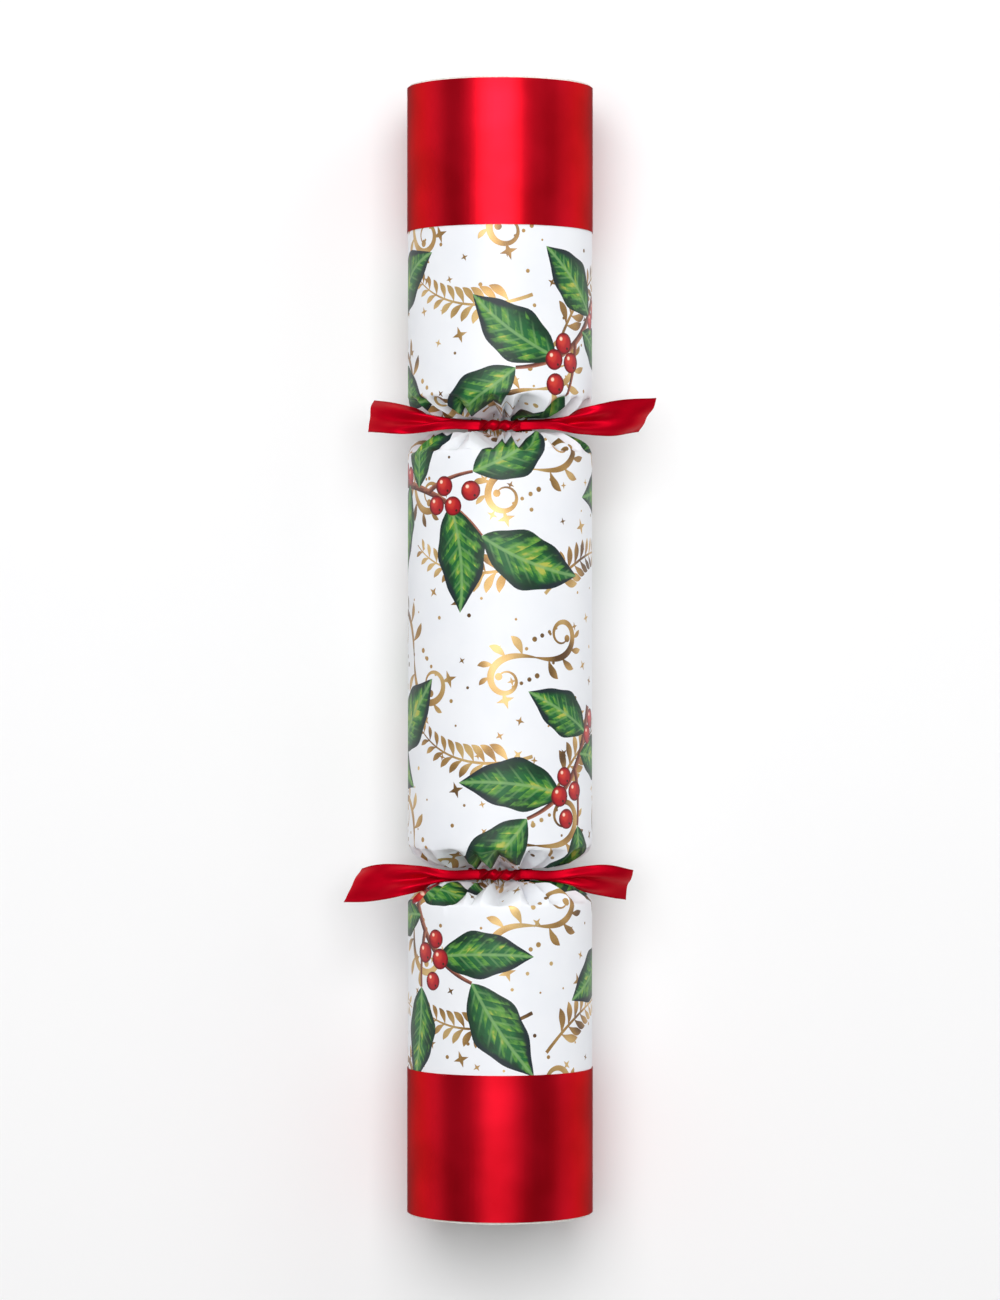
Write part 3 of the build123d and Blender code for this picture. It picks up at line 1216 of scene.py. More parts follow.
@dataclass(frozen=True)
class BerrySprig:
    """A twig with a spur, leaves to both sides and clusters of berries, in millimetres and degrees.

    Each leaf has its point on the twig or, counted on from there, the spur; then its heading and its scale.
    """

    headings: tuple[float, ...] = (35.0, 205.0, -40.0, 150.0)
    heading_spread: float = 15.0
    twig: tuple[complex, ...] = (complex(-20.0, -7.0), complex(0.0, 7.0), complex(17.0, 1.5))
    twig_steps: int = 26
    twig_half: float = 1.15
    twig_taper: float = 0.026
    fork: int = 11
    spur: tuple[complex, ...] = (complex(-1.0, 8.0), complex(5.0, 14.0))
    spur_steps: int = 14
    spur_half: float = 0.75
    spur_taper: float = 0.025
    leaves: tuple[tuple[int, float, float], ...] = (
        (4, -62.0, 0.92), (8, 128.0, 0.85), (17, -48.0, 1.05), (26, 8.0, 1.12), (41, 62.0, 0.95))
    leaf_length: float = 27.0
    leaf_share: float = 0.5
    length_spread: Pair = (0.93, 1.07)
    width_spread: Pair = (0.92, 1.06)
    leaf_stray: float = 9.0
    leaf_bow: float = 0.3
    berries: tuple[complex, ...] = (
        complex(1.0, 0.2), complex(5.6, 3.2), complex(0.2, 5.9), complex(-15.0, -1.2),
        complex(-19.6, -3.0), complex(7.5, 9.5))
    berry_radius: float = 2.75
    berry_spread: Pair = (0.9, 1.08)
    berry_corners: int = 22

    def draw(self, middle: complex, rng: random.Random, number: int) -> list[Motif]:
        """Draw one sprig.

        Args:
            middle: The middle of its place.
            rng: Its random source.
            number: Which of the headings it takes, round and round.

        Returns:
            Its twigs, leaves and berries.
        """
        degrees = self.headings[number % len(self.headings)]
        turn = math.radians(degrees + rng.uniform(-self.heading_spread, self.heading_spread))
        spin = cmath.rect(1.0, turn)
        mirror = rng.choice((-1.0, 1.0))

        def lay(point: complex) -> complex:
            """Return where a point of the unturned sprig comes to lie."""
            return middle + spin * complex(point.real, point.imag * mirror)

        twig = curve(*self.twig, self.twig_steps)
        spur = curve(twig[self.fork], *self.spur, self.spur_steps)
        drawn = []
        for line, half, taper in ((twig, self.twig_half, self.twig_taper),
                                  (spur, self.spur_half, self.spur_taper)):
            half_widths = [half - taper * k for k in range(len(line))]
            drawn.append(stroke(Ink.TWIG, [lay(point) for point in line], half_widths, rng.random()))
        for k, degrees, scale in self.leaves:
            length = self.leaf_length * scale * rng.uniform(*self.length_spread)
            width = length * self.leaf_share * rng.uniform(*self.width_spread)
            heading = turn + math.radians(degrees + rng.uniform(-self.leaf_stray, self.leaf_stray)) * mirror
            bow = rng.uniform(-self.leaf_bow, self.leaf_bow)
            drawn.append(leaf(lay((twig + spur)[k]), heading, length, width, bow, rng.random()))
        for berry in self.berries:
            radius = self.berry_radius * rng.uniform(*self.berry_spread)
            drawn.append(disc(Ink.BERRY, lay(berry), radius, rng.random(), self.berry_corners))
        return drawn


@dataclass(frozen=True)
class Repeat:
    """A half-drop repeat: its columns round the sheet, its step along it and where its first row lies."""

    word: str
    columns: int
    step: float
    start: float
    drop: float = 0.5
    offset: float = 0.25

    def cells(self, girth: float, low: float, high: float) -> Iterable[Cell]:
        """Go through the places on a stretch of the sheet, with a step to spare.

        Args:
            girth: The way once round the sheet.
            low: Where the stretch starts.
            high: Where it stops.

        Yields:
            Each place's middle, random source, row and column.
        """
        pitch = girth / self.columns
        first = math.floor((low - self.step - self.start) / self.step)
        last = math.ceil((high + self.step - self.start) / self.step)
        for row in range(first, last + 1):
            for column in range(-1, self.columns + 2):
                around = (column + self.drop * (row % 2) + self.offset) * pitch
                rng = random.Random(f"{self.word} {row} {column % self.columns}")
                yield complex(around, self.start + row * self.step), rng, row, column % self.columns


@dataclass(frozen=True)
class BerryPattern:
    """The print: berried sprigs in a half-drop repeat over gold scrolls, fronds and dust."""

    girth: float
    gold_places: Repeat = Repeat("scroll", columns=4, step=25.0, start=-2.0)
    dust_places: Repeat = Repeat("dust", columns=17, step=9.2, start=-2.0)
    sprig_places: Repeat = Repeat("sprig", columns=2, step=72.0, start=-33.0)
    scroll: GoldScroll = GoldScroll()
    frond: GoldFrond = GoldFrond()
    dust: GoldDust = GoldDust()
    sprig: BerrySprig = BerrySprig()

    def motifs(self, low: float, high: float) -> list[Motif]:
        """Draw what is printed on a stretch of the sheet.

        Args:
            low: Where the stretch starts.
            high: Where it stops.

        Returns:
            The motifs, lowest layer first.
        """
        stretch = (self.girth, low, high)
        drawn = []
        for middle, rng, row, column in self.gold_places.cells(*stretch):
            kind = self.frond if row % 2 else self.scroll
            drawn += kind.draw(middle, rng, column % 2 == 0)
        drawn += [self.dust.draw(middle, rng) for middle, rng, _, _ in self.dust_places.cells(*stretch)]
        for middle, rng, row, column in self.sprig_places.cells(*stretch):
            drawn += self.sprig.draw(middle, rng, row * self.sprig_places.columns + column)
        drawn.sort(key=lambda motif: motif.ink.value)
        return drawn


@dataclass(frozen=True)
class NeckShape:
    """How the paper turns in over a tube's edge and runs down to the tied waist."""

    edge_radius: float = 1.1
    edge_turn: float = 56.0
    edge_steps: int = 8
    tear_turn: float = 50.0
    waist_radius: float = 6.2
    waist_half: float = 2.1
    barrel_puff: float = 5.2
    end_puff: float = 7.6
    foot: Pair = (0.25, 5.5)
    slope_steps: int = 28


@dataclass
class PaperLine:
    """The paper's run along the cracker, from the middle outwards, as radius against X."""

    sizes: CrackerSizes
    shape: NeckShape

    def __post_init__(self) -> None:
        """Lay out the line and measure along it."""
        sizes = self.sizes
        shape = self.shape
        points = [Vector((0.0, sizes.paper_radius))]
        for point in self._half_neck(shape.barrel_puff):
            points.append(Vector((sizes.waist - point.x, point.y)))
        for point in reversed(self._half_neck(shape.end_puff)):
            points.append(Vector((sizes.waist + point.x, point.y)))
        points.append(Vector((sizes.paper_stop, sizes.paper_radius)))
        self.points = points
        self.lengths = run_lengths(points)
        self.ways = [(second - first).normalized() for first, second in zip(points, points[1:])]
        self.shoulder = sizes.barrel_end
        self.tear = self.shoulder + shape.edge_radius * math.radians(shape.tear_turn)
        self.end_shoulder = self.lengths[-2]
        self.stop = self.lengths[-1]

    def _half_neck(self, puff: float) -> list[Vector]:
        """Lay out the way from a tube's edge down to the waist.

        Args:
            puff: How far the paper goes on from the edge before it bends down.

        Returns:
            The points, X being the distance from the waist.
        """
        shape = self.shape
        gap = self.sizes.waist - self.sizes.barrel_end
        pivot = Vector((gap, self.sizes.paper_radius - shape.edge_radius))
        turn = math.radians(shape.edge_turn)
        turned = []
        for step in range(shape.edge_steps + 1):
            angle = turn * step / shape.edge_steps
            turned.append(pivot + Vector((-math.sin(angle), math.cos(angle))) * shape.edge_radius)
        start = turned[-1]
        way = Vector((-math.cos(turn), -math.sin(turn)))
        stop = Vector((shape.waist_half, shape.waist_radius))
        pulls = (start, start + way * puff, stop + Vector(shape.foot), stop)
        return turned + [bend_at(pulls, step / shape.slope_steps) for step in range(1, shape.slope_steps + 1)]

    def at(self, length: float) -> tuple[Vector, Vector]:
        """Find a place on the line.

        Args:
            length: How far along the line it is.

        Returns:
            The place and the way out from it, both as X and radius.
        """
        last = len(self.ways) - 1
        k = min(last, max(0, bisect.bisect_right(self.lengths, length) - 1))
        span = self.lengths[k + 1] - self.lengths[k]
        share = (length - self.lengths[k]) / span
        place = between(self.points[k], self.points[k + 1], share)
        if share < 0.5:
            way = between(self.ways[max(0, k - 1)], self.ways[k], share + 0.5)
        else:
            way = between(self.ways[k], self.ways[min(last, k + 1)], share - 0.5)
        way = way.normalized()
        return place, Vector((-way.y, way.x))


@dataclass
class NeckPleats:
    """The folds of one neck: lines along the paper that are valleys and ridges by turns."""

    seed: str
    ridges: int
    girth: float
    narrow: Pair = (0.4, 0.8)
    wide: Pair = (1.0, 1.8)
    lean_spread: float = 0.75
    valley_lean: float = 0.3
    depth_spread: Pair = (0.75, 1.1)

    def __post_init__(self) -> None:
        """Draw uneven folds, a valley and a ridge by turns."""
        rng = random.Random(self.seed)
        girth = self.girth
        count = 2 * self.ridges
        shares = [rng.choice((rng.uniform(*self.narrow), rng.uniform(*self.wide))) for _ in range(count)]
        total = sum(shares)
        self.lines = [girth * sum(shares[:k]) / total for k in range(count + 1)]
        self.lean = []
        self.depth = []
        for k in range(count):
            sign, leaning = (1.0, 1.0) if k % 2 else (-1.0, self.valley_lean)
            room = min(shares[k], shares[k - 1]) / total * girth
            self.lean.append(rng.uniform(-self.lean_spread, self.lean_spread) * room * leaning)
            width = (shares[k] + shares[k - 1]) / total * girth / 2.0
            self.depth.append(sign * width * rng.uniform(*self.depth_spread))
        self.lean.append(self.lean[0])
        self.depth.append(self.depth[0])

    def columns(self, parts: int) -> list[float]:
        """Return the places of the lines, with the paper between them in that many parts."""
        spans = zip(self.lines, self.lines[1:])
        return [between(first, second, part / parts) for first, second in spans for part in range(parts)]


@dataclass
class PaperRoll:
    """The whole printed sheet, rolled and gathered: it turns flat places into places on the cracker."""

    sizes: CrackerSizes
    pleat_count: int = 19
    slack: float = 0.8
    waist_room: float = 1.5
    slope_room: float = 1.7
    slope_radii: Pair = (9.0, 15.0)
    lap: float = 8.0
    lap_lift: float = 0.2
    lap_rise: Pair = (3.0, 0.5)
    folding: Pair = (0.02, 0.3)
    leaning: Pair = (0.3, 0.95)
    crumple: float = 0.34
    crumple_seed: int = 5
    crumpling: Pair = (0.2, 0.6)
    crumple_rates: Pair = (0.3, 0.45)
    ribbon_half: float = 1.9
    ribbon_seat: float = 7.7
    tear_wander: float = 0.25
    tear_wander_rate: float = 0.22
    tear_fibre: float = 0.18
    tear_fibre_rate: float = 1.9

    def __post_init__(self) -> None:
        """Set up the line along the paper and the folds of both necks."""
        noise.seed_set(self.crumple_seed)
        girth = self.sizes.girth
        self.line = PaperLine(self.sizes, NeckShape())
        self.pleats = {side: NeckPleats(f"neck {side.word}", self.pleat_count, girth) for side in Side}

    def _ring(self, place: Vector, around: float, side: Side) -> Vector:
        """Return the point of a round section that lies that far round the paper."""
        angle = around / self.sizes.paper_radius - math.pi / 2.0
        return Vector((
            side.value * place.x,
            place.y * math.cos(angle),
            self.sizes.axis_height + place.y * math.sin(angle),
        ))

    def place(self, along: float, around: float) -> Vector:
        """Roll up one place of the flat sheet.

        Args:
            along: How far it is from the cracker's middle, below zero to the left.
            around: How far round the sheet it is.

        Returns:
            Where it comes to lie, in millimetres.
        """
        side = Side.RIGHT if along >= 0.0 else Side.LEFT
        spot, out = self.line.at(abs(along))
        girth = self.sizes.girth
        lift = self.lap_lift * smooth(girth - self.lap_rise[0], girth - self.lap_rise[1], around)
        spot = spot + out * lift
        flat = self._ring(spot, around, side)
        gather = math.sqrt(max(0.0, 1.0 - (spot.y / self.sizes.paper_radius) ** 2))
        if gather < self.folding[0]:
            return flat
        pleats = self.pleats[side]
        turns, rest = divmod(around, girth)
        k = min(len(pleats.lines) - 2, bisect.bisect_right(pleats.lines, rest) - 1)
        room = self.waist_room + self.slope_room * smooth(*self.slope_radii, spot.y)
        ends = []
        for line in (k, k + 1):
            fold = self.slack * pleats.depth[line] * gather
            fold = room * math.tanh(fold / room)
            shift = pleats.lean[line] * smooth(*self.leaning, gather)
            bent = self._beside_ribbon(spot, spot + out * fold)
            ends.append(self._ring(bent, turns * girth + pleats.lines[line] + shift, side))
        share = (rest - pleats.lines[k]) / (pleats.lines[k + 1] - pleats.lines[k])
        folded = between(ends[0], ends[1], share)
        along_rate, around_rate = self.crumple_rates
        rough = noise.noise_vector(Vector((along * along_rate, around * around_rate, side.value * 7.0)))
        folded += rough * self.crumple * smooth(*self.crumpling, gather)
        return between(flat, folded, smooth(*self.folding, gather))

    def _beside_ribbon(self, spot: Vector, bent: Vector) -> Vector:
        """Keep a fold on its own side of the ribbon where it stands above the ribbon's seat.

        Args:
            spot: The place on the paper's line that it stands out from.
            bent: The fold's place, as X and radius.

        Returns:
            The place, beside the ribbon.
        """
        side = math.copysign(1.0, spot.x - self.sizes.waist)
        away = (bent.x - self.sizes.waist) * side
        if bent.y < self.ribbon_seat or away > self.ribbon_half:
            return bent
        return Vector((self.sizes.waist + side * self.ribbon_half, bent.y))

    def tear_line(self, side: Side, around: float) -> float:
        """Find the torn edge of the paper.

        Args:
            side: Which shoulder of the barrel it runs round.
            around: A place round the sheet.

        Returns:
            How far along the sheet the edge runs there.
        """
        wander = noise.noise(Vector((around * self.tear_wander_rate, side.value * 3.0, 0.5)))
        fibre = noise.noise(Vector((around * self.tear_fibre_rate, side.value * 5.0, 2.5)))
        return side.value * (self.line.tear + wander * self.tear_wander + fibre * self.tear_fibre)


@dataclass
class PrintedPiece:
    """One stretch of the printed sheet, as a mesh whose edges low and high change round the sheet."""

    name: str
    roll: PaperRoll
    low: Callable[[float], float]
    high: Callable[[float], float]
    rows: Sequence[float]
    edge_step: float = 0.8
    back_wall: float = 0.14
    inset: float = 0.35
    side_inset: float = 0.2
    corner_room: float = 1.0
    fold_parts: int = 3
    lap_folds: int = 3
    inside_only: int = 1
    same_point: float = 1e-5
    same_column: float = 1e-4
    near_fold: float = 2e-3

    def __post_init__(self) -> None:
        """Set up the piece's width and the places of the folds."""
        self.width = self.roll.sizes.girth + self.roll.lap
        self.crease_places: dict[Side, list[float]] = {
            side: pleats.lines + [pleats.girth + line for line in pleats.lines[1:self.lap_folds + 1]]
            for side, pleats in self.roll.pleats.items()
        }

    def build(self, pattern: BerryPattern, finishes: Sequence[Material]) -> Piece:
        """Cut the print into the sheet and roll it up.

        Args:
            pattern: What is printed.
            finishes: The materials in the order of Ink.

        Returns:
            The piece.
        """
        outline = self._edge()
        points, creases = self._grid()
        low = min(point.imag for point in outline)
        high = max(point.imag for point in outline)
        motifs = [
            motif for motif in pattern.motifs(low, high)
            if any(low < point.imag < high and 0.0 < point.real < self.width for point in motif.outline)
        ]
        loops = [list(range(len(outline)))]
        flat = outline + points
        creases = [(first + len(outline), second + len(outline)) for first, second in creases]
        for motif in motifs:
            loops.append(list(range(len(flat), len(flat) + len(motif.outline))))
            turned = self._area(motif.outline) < 0.0
            flat = flat + (motif.outline[::-1] if turned else motif.outline)
        corners = [Vector((point.real, point.imag)) for point in flat]
        cut = delaunay_2d_cdt(corners, creases, loops, self.inside_only, self.same_point, True)
        return self._rolled(cut, motifs, finishes)

    @staticmethod
    def _area(loop: Sequence[complex]) -> float:
        """Return a loop's area, below zero where it turns right."""
        return sum((a.conjugate() * b).imag for a, b in zip(loop, [*loop[1:], loop[0]])) / 2.0

    def _edge(self) -> list[complex]:
        """Lay points round the piece's edge.

        Returns:
            The outline, turning left.
        """
        steps = round(self.width / self.edge_step)
        across = [self.width * step / steps for step in range(steps + 1)]
        lower = [complex(place, self.low(place)) for place in across]
        upper = [complex(place, self.high(place)) for place in reversed(across)]
        start = lower[-1].imag + self.corner_room
        stop = upper[0].imag - self.corner_room
        inner = [row for row in self.rows if start < row < stop]
        right = [complex(self.width, row) for row in inner]
        left = [complex(0.0, row) for row in reversed(inner)]
        return lower + right + upper + left

    def _grid(self) -> tuple[list[complex], list[tuple[int, int]]]:
        """Lay points in rows over the sheet.

        Returns:
            The points, and the pairs of them that lie next to each other on a fold's line.
        """
        points = []
        creases = []
        for side in Side:
            pleats = self.roll.pleats[side]
            columns = pleats.columns(self.fold_parts)
            columns += [pleats.girth + place for place in columns if place < self.roll.lap]
            rows = [row for row in self.rows if (row >= 0.0) == (side is Side.RIGHT)]
            for place in columns:
                if not self.side_inset < place < self.width - self.side_inset:
                    continue
                creased = self._on_fold(side, place)
                last = None
                for row in rows:
                    if not self.low(place) + self.inset < row < self.high(place) - self.inset:
                        continue
                    folded = self._in_neck(row)
                    if creased and folded and last is not None:
                        creases.append((last, len(points)))
                    last = len(points) if folded else None
                    points.append(complex(place, row))
        return points, creases

    def _in_neck(self, along: float) -> bool:
        """Tell whether a place along the sheet lies in a neck."""
        return self.roll.line.shoulder < abs(along) < self.roll.line.end_shoulder

    def _on_fold(self, side: Side, around: float) -> bool:
        """Tell whether a place round the sheet lies on a line of that neck's folds."""
        return any(abs(place - around) < self.near_fold for place in self.crease_places[side])

    def _rolled(self, cut: tuple, motifs: Sequence[Motif], finishes: Sequence[Material]) -> Piece:
        """Turn the cut flat sheet into the finished piece.

        Args:
            cut: Its points, its faces and what each face comes from.
            motifs: What is printed, in the order of cutting.
            finishes: The materials in the order of Ink.

        Returns:
            The piece.
        """
        flat, _, faces, _, _, sources = cut
        kept = [(face, source) for face, source in zip(faces, sources) if 0 in source]
        used = sorted({corner for face, _ in kept for corner in face})
        order = {corner: k for k, corner in enumerate(used)}
        flat = [flat[corner] for corner in used]
        kept = [([order[corner] for corner in face], source) for face, source in kept]
        points = [self.roll.place(spot.y, spot.x) for spot in flat]
        piece = mesh_object(self.name, points, [face for face, _ in kept], finishes)
        sheet_map = []
        motif_map = []
        tones = []
        for polygon, (face, source) in zip(piece.data.polygons, kept):
            top = max(source)
            motif = motifs[top - 1] if top else None
            polygon.material_index = motif.ink.value if motif else Ink.PAPER.value
            tones.append(motif.tone if motif else 0.0)
            for corner in face:
                spot = flat[corner]
                sheet_map.append((spot.x, spot.y))
                motif_map.append(motif.local(complex(spot.x, spot.y)) if motif else (0.0, 0.0))
        add_map(piece, "Sheet", sheet_map)
        add_map(piece, "Motif", motif_map)
        piece.data.attributes.new("tone", "FLOAT", "FACE").data.foreach_set("value", tones)
        self._sharpen(piece, flat)
        thicken(piece, self.back_wall, -1.0, Ink.BACK.value)
        return piece

    def _sharpen(self, piece: Piece, flat: Sequence[Vector]) -> None:
        """Mark the edges that run along the folds' lines as sharp.

        Args:
            piece: The rolled sheet.
            flat: Its points before they were rolled up.
        """
        for edge in piece.data.edges:
            first, second = (flat[corner] for corner in edge.vertices)
            if abs(first.x - second.x) <= self.same_column and self._in_neck(first.y):
                side = Side.RIGHT if first.y >= 0.0 else Side.LEFT
                edge.use_edge_sharp = self._on_fold(side, first.x)


def rows_between(start: float, stop: float, step: float) -> list[float]:
    """Return evenly spaced places from start to stop, no further apart than step."""
    count = max(1, math.ceil((stop - start) / step))
    return [between(start, stop, k / count) for k in range(count + 1)]


@dataclass
class Wrapping:
    """The printed paper: one sheet that is parted at the barrel's shoulders."""

    sizes: CrackerSizes
    finishes: Sequence[Material]
    flat_row: float = 3.4
    neck_row: float = 1.25
    shoulder_row: float = 0.5
    tear_reach: float = 1.0
    shoulder_reach: float = 2.0
    tear_opening: float = 0.02

    def build(self) -> dict[str, Piece]:
        """Make the three pieces.

        Returns:
            The pieces by the part of the cracker that they wrap.
        """
        roll = PaperRoll(self.sizes)
        line = roll.line
        pattern = BerryPattern(self.sizes.girth)
        barrel_half = rows_between(0.0, line.shoulder, self.flat_row)[1:]
        barrel_half += rows_between(line.shoulder, line.tear + self.tear_reach, self.shoulder_row)[1:]
        barrel_rows = [-row for row in reversed(barrel_half)] + [0.0] + barrel_half
        slope_stop = line.end_shoulder - self.shoulder_reach
        end_rows = rows_between(line.tear, slope_stop, self.neck_row)
        end_rows += rows_between(slope_stop, line.end_shoulder, self.shoulder_row)[1:]
        end_rows += rows_between(line.end_shoulder, line.stop, self.flat_row)[1:]
        gap = self.tear_opening

        def torn(side: Side, shift: float) -> Callable[[float], float]:
            """Return one lip of a torn edge."""
            return lambda around: roll.tear_line(side, around) + shift

        stretches = {
            "barrel": (torn(Side.LEFT, gap), torn(Side.RIGHT, -gap), barrel_rows),
            "right": (torn(Side.RIGHT, gap), lambda around: line.stop, end_rows),
            "left": (lambda around: -line.stop, torn(Side.LEFT, -gap), [-row for row in reversed(end_rows)]),
        }
        made = {}
        for word, (low, high, rows) in stretches.items():
            stretch = PrintedPiece(f"{word}_printed_paper", roll, low, high, rows)
            made[word] = stretch.build(pattern, self.finishes)
            body = word if word == "barrel" else f"{word}_end"
            settle(made[word], body, f"{word}_wrapper", "printed_paper")
        return made


@dataclass
class FoilBands:
    """The red foil bands: one strip rolled round each end, lapped on the underside."""

    sizes: CrackerSizes
    finish: Material
    wall: float = 0.16
    lap: float = 7.0
    lap_step: float = 0.04
    lap_slope: float = 2.0
    ripple: float = 0.03
    ripple_rates: Pair = (30.0, 90.0)
    edge_clearance: float = 0.02
    rows: int = 220
    columns: int = 28

    def build(self) -> None:
        """Make both bands."""
        tree = self._tree()
        for side in Side:
            start = self.sizes.foil_start if side is Side.RIGHT else -self.sizes.foil_stop
            radius = self.sizes.foil_radius - self.lap_step - self.ripple - self.edge_clearance
            piece = tree.make(f"{side.word}_foil", {
                "Start": start * MM,
                "Length": (self.sizes.foil_stop - self.sizes.foil_start) * MM,
                "Radius": radius * MM,
                "Lap": self.lap * MM,
                "Step": self.lap_step * MM,
                "Ripple": self.ripple * MM,
                "Axis Height": self.sizes.axis_height * MM,
                "Finish": self.finish,
            })
            thicken(piece, self.wall, -1.0)
            settle(piece, f"{side.word}_end", f"{side.word}_foil_band", "red_foil")

    def _tree(self) -> GeometrySheet:
        """Lay out the nodes that roll a flat strip into a band.

        Returns:
            The tree.
        """
        sheet = GeometrySheet("rolled_foil")
        names = ("Start", "Length", "Radius", "Lap", "Step", "Ripple", "Axis Height")
        start, length, radius, lap, step, ripple, height = (sheet.value(name) for name in names)
        girth = radius * (2.0 * math.pi)
        strip = sheet.add("GeometryNodeMeshGrid", None, {
            "Size X": length, "Size Y": girth + lap, "Vertices X": self.columns, "Vertices Y": self.rows})
        position = sheet.add("GeometryNodeInputPosition")
        across, around, _ = sheet.parts(position)
        run = across + length * 0.5
        reach = around + (girth + lap) * 0.5
        run_rate, reach_rate = self.ripple_rates
        wave = sheet.noise((run * run_rate, reach * reach_rate, start), 1.0, 1.0)
        raised = step * reach.rise(girth - self.lap_slope * MM, girth)
        lifted = radius + raised + (wave - 0.5) * 2.0 * ripple
        angle = reach / radius - math.pi / 2.0
        y = sheet.math("COSINE", angle) * lifted
        z = sheet.math("SINE", angle) * lifted + height
        mapped = sheet.add("GeometryNodeStoreNamedAttribute", {"data_type": "FLOAT2", "domain": "CORNER"}, {
            "Geometry": strip, "Name": "Sheet", "Value": sheet.vector(run / MM, reach / MM, 0.0)})
        rolled = sheet.add("GeometryNodeSetPosition", None, {
            "Geometry": mapped, "Position": sheet.vector(start + run, y, z)})
        outward = sheet.add("GeometryNodeFlipFaces", None, {0: rolled})
        smoothed = sheet.add("GeometryNodeSetShadeSmooth", None, {0: outward})
        sheet.close(smoothed)
        return sheet


@dataclass(frozen=True)
class Station:
    """One place on a strip's way: its middle, its two directions and how wide the folded strip is there."""

    middle: Vector
    across: Vector
    out: Vector
    half_width: float


